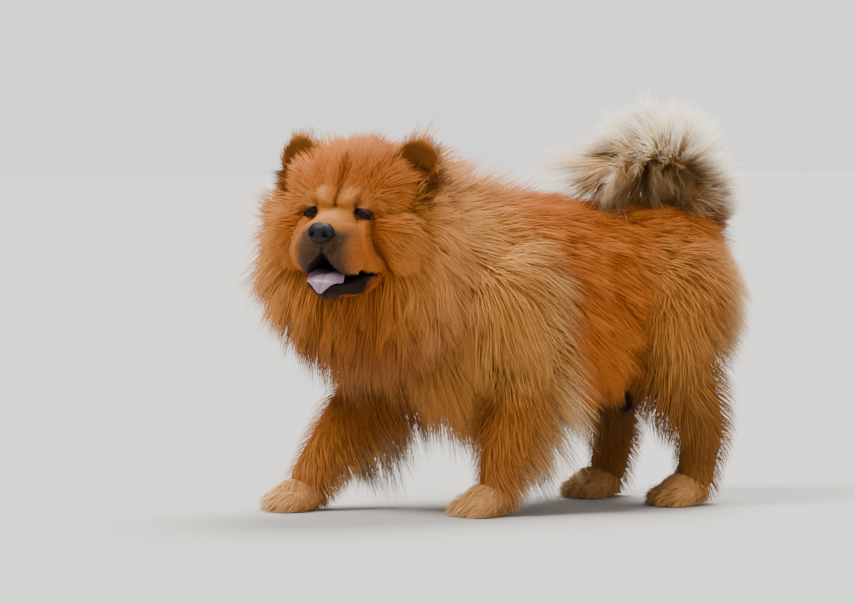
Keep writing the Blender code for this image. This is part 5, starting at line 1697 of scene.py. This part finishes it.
class CHOW_OT_coat(bpy.types.Operator):
    """Grows the coat in pieces: flank, mane, head, face, legs and plume"""

    bl_idname = "chow.coat"
    bl_label = "Coat"

    def execute(self, context):
        settings = context.scene.chow_coat
        skin = SKIN["skin"]
        trunk, neck, ruff, tail, fore, hind, paw, head, ear = skin.share.T
        points, local = skin.points, to_head(skin.points)
        material = coat_material("coat", settings)
        plume = coat_material("plume", settings, through=0.60, plume=True)
        bare = 1 - np.clip(skin.masks["black"] * 1.3, 0, 1)
        short = short_coat(local)
        trunk = trunk * (1 - ease(0.9, 1.0, skin.masks["black"]))
        front = ease(0.06, 0.02, points[:, 1])
        crest = ease(-0.03, 0.05, local[:, 2]) * ease(0.20, 0.10, local[:, 1]) * ease(0.02, 0.06, np.abs(local[:, 0]))
        mane = (neck + ruff) * (1 + 0.9 * crest)
        chest = ease(0.03, -0.04, local[:, 1])
        legs = fore + hind + 3.6 * paw * ease(0.003, 0.007, points[:, 2])
        upper = ease(0.26, 0.20, points[:, 2])
        rear = ease(0.0, 0.6, skin.normals[:, 1]) * fore
        legs = legs * (0.55 + 0.45 * upper) * (1 + 0.8 * rear * upper)
        ear_back = ear * ease(-0.2, 0.5, (skin.normals @ HEAD_AXES)[:, 1])
        ear_front = ear * 0.7 - 0.7 * ear_back
        pieces = (
            ("coat_flank_front", "trunk", trunk * front, SHORT_COUNT, 1.0, 11, FLANK),
            ("coat_flank_back", "trunk", trunk * (1 - front), SHORT_COUNT, 1.0, 12, FLANK),
            ("coat_mane_front", "mane", mane * chest, LONG_COUNT, 1.15, 13, MANE_FRONT),
            ("coat_mane_back", "mane", mane * (1 - chest), LONG_COUNT, 1.15, 14, MANE_BACK),
            ("coat_head", "head", (head * (1 - short) + 1.6 * ear_back) * bare, SHORT_COUNT, 0.75, 15, HEAD),
            ("coat_face", "head", (head * short + ear_front) * bare, SHORT_COUNT, 0.50, 16, FACE),
            ("coat_legs", "legs", legs, SHORT_COUNT, 0.90, 17, LEGS),
            ("coat_plume", "tail", tail, LONG_COUNT, 0.80, 18, PLUME),
        )
        for name, group, weight, full, wide, seed, style in pieces:
            count = int(full * settings.density)
            obj = grow(skin, name, group, weight, count, settings.width * wide, seed, **style)
            dress(obj, plume if group == "tail" else material, COAT_SLOTS.get(group, "coat_orange"))
        return {"FINISHED"}


def far_light(name, away, strength, spread, colour):
    """Even light from a direction, as soft as its spread is wide."""
    light = bpy.data.lights.new(name, "SUN")
    light.energy = strength
    light.angle = radians(spread)
    light.color = colour
    obj = bpy.data.objects.new(name, light)
    bpy.context.scene.collection.objects.link(obj)
    away = Vector(away)
    obj.matrix_world = Matrix.LocRotScale(3 * away, away.to_track_quat("Z", "Y"), None)
    return obj


class CHOW_OT_stage(bpy.types.Operator):
    """Builds the floor, the lights and the camera at the photograph's angle"""

    bl_idname = "chow.stage"
    bl_label = "Stage"

    def execute(self, context):
        stage = context.scene.chow_stage
        side = 45.0 * np.array(((-1.0, -1.0), (1.0, -1.0), (1.0, 1.0), (-1.0, 1.0)))
        floor = put_mesh("floor", np.column_stack([side, np.full(4, -0.0004)]), np.array([(0, 1, 2, 3)]))
        material, tree, shader = new_material("floor")
        where = node(tree, "ShaderNodeTexCoord", (-700, 0))
        cloud = node(tree, "ShaderNodeTexNoise", (-450, 0), Vector=where.outputs["Object"], Scale=3.0, Detail=5.0)
        pale = (*stage.floor, 1)
        base = mixed(tree, (-150, 0), cloud.outputs[0], pale, scaled(pale, 0.94))
        tree.links.new(base, shader.inputs["Base Color"])
        shader.inputs["Roughness"].default_value = 0.75
        floor.data.materials.append(material)
        world = bpy.data.worlds.new("studio")
        context.scene.world = world
        world.use_nodes = True
        air = world.node_tree
        sky = air.nodes["Background"]
        sky.inputs[0].default_value = (1.0, 0.98, 0.95, 1)
        sky.inputs[1].default_value = stage.air
        seen = node(air, "ShaderNodeBackground", (0, -200), Color=(0.93, 0.93, 0.93, 1), Strength=stage.backdrop)
        ray = node(air, "ShaderNodeLightPath", (0, 400))
        both = node(air, "ShaderNodeMixShader", (300, 0), _0=ray.outputs[0], _1=sky.outputs[0], _2=seen.outputs[0])
        air.links.new(both.outputs[0], air.nodes["World Output"].inputs[0])
        back = np.array((sin(VIEW_TURN), -cos(VIEW_TURN), 0.0))
        right = np.array((cos(VIEW_TURN), sin(VIEW_TURN), 0.0))
        up = np.array((0.0, 0.0, 1.0))
        for name, (way, share, spread, colour) in LIGHTS.items():
            far_light(name, way[0] * back + way[1] * right + way[2] * up, stage.key_power * share, spread, colour)
        lens = bpy.data.cameras.new("camera")
        lens.sensor_width = SENSOR
        lens.lens = SENSOR * stage.distance * PIXELS / PHOTO_WIDTH
        lens.clip_end = 60.0
        camera = bpy.data.objects.new("camera", lens)
        context.scene.collection.objects.link(camera)
        place = Vector(SHIFT + stage.distance * back + EYE_LEVEL * up)
        across = (PHOTO_MIDDLE[0] - AXIS_PIXEL[0]) / PIXELS
        high = EYE_LEVEL - (PHOTO_MIDDLE[1] - AXIS_PIXEL[1]) / PIXELS
        target = Vector(SHIFT + right * across + up * high)
        camera.matrix_world = Matrix.LocRotScale(place, (place - target).to_track_quat("Z", "Y"), None)
        context.scene.camera = camera
        return {"FINISHED"}


STEPS = (
    CHOW_OT_skin,
    CHOW_OT_eyes,
    CHOW_OT_lids,
    CHOW_OT_nose,
    CHOW_OT_tongue,
    CHOW_OT_claws,
    CHOW_OT_coat,
    CHOW_OT_stage,
)
SETTINGS = {"chow_coat": ChowCoat, "chow_body": ChowBody, "chow_face": ChowFace, "chow_stage": ChowStage}


class CHOW_PT_panel(bpy.types.Panel):
    """The sidebar panel with the sizes, the colours and the steps"""

    bl_idname = "CHOW_PT_panel"
    bl_label = "Chow chow"
    bl_space_type = "VIEW_3D"
    bl_region_type = "UI"
    bl_category = "Chow"

    def draw(self, context):
        for name, group in SETTINGS.items():
            box = self.layout.box()
            for key in group.__annotations__:
                box.prop(getattr(context.scene, name), key)
        for step in STEPS:
            self.layout.operator(step.bl_idname)


def register():
    for group in (*SETTINGS.values(), *STEPS, CHOW_PT_panel):
        bpy.utils.register_class(group)
    for name, group in SETTINGS.items():
        setattr(bpy.types.Scene, name, bpy.props.PointerProperty(type=group))


def unregister():
    for name in SETTINGS:
        delattr(bpy.types.Scene, name)
    for group in (CHOW_PT_panel, *reversed(STEPS), *SETTINGS.values()):
        bpy.utils.unregister_class(group)


def main():
    register()
    bpy.ops.chow.skin()
    bpy.ops.chow.eyes()
    bpy.ops.chow.lids()
    bpy.ops.chow.nose()
    bpy.ops.chow.tongue()
    bpy.ops.chow.claws()
    bpy.ops.chow.coat()
    bpy.ops.chow.stage()


if __name__ == "__main__":
    main()
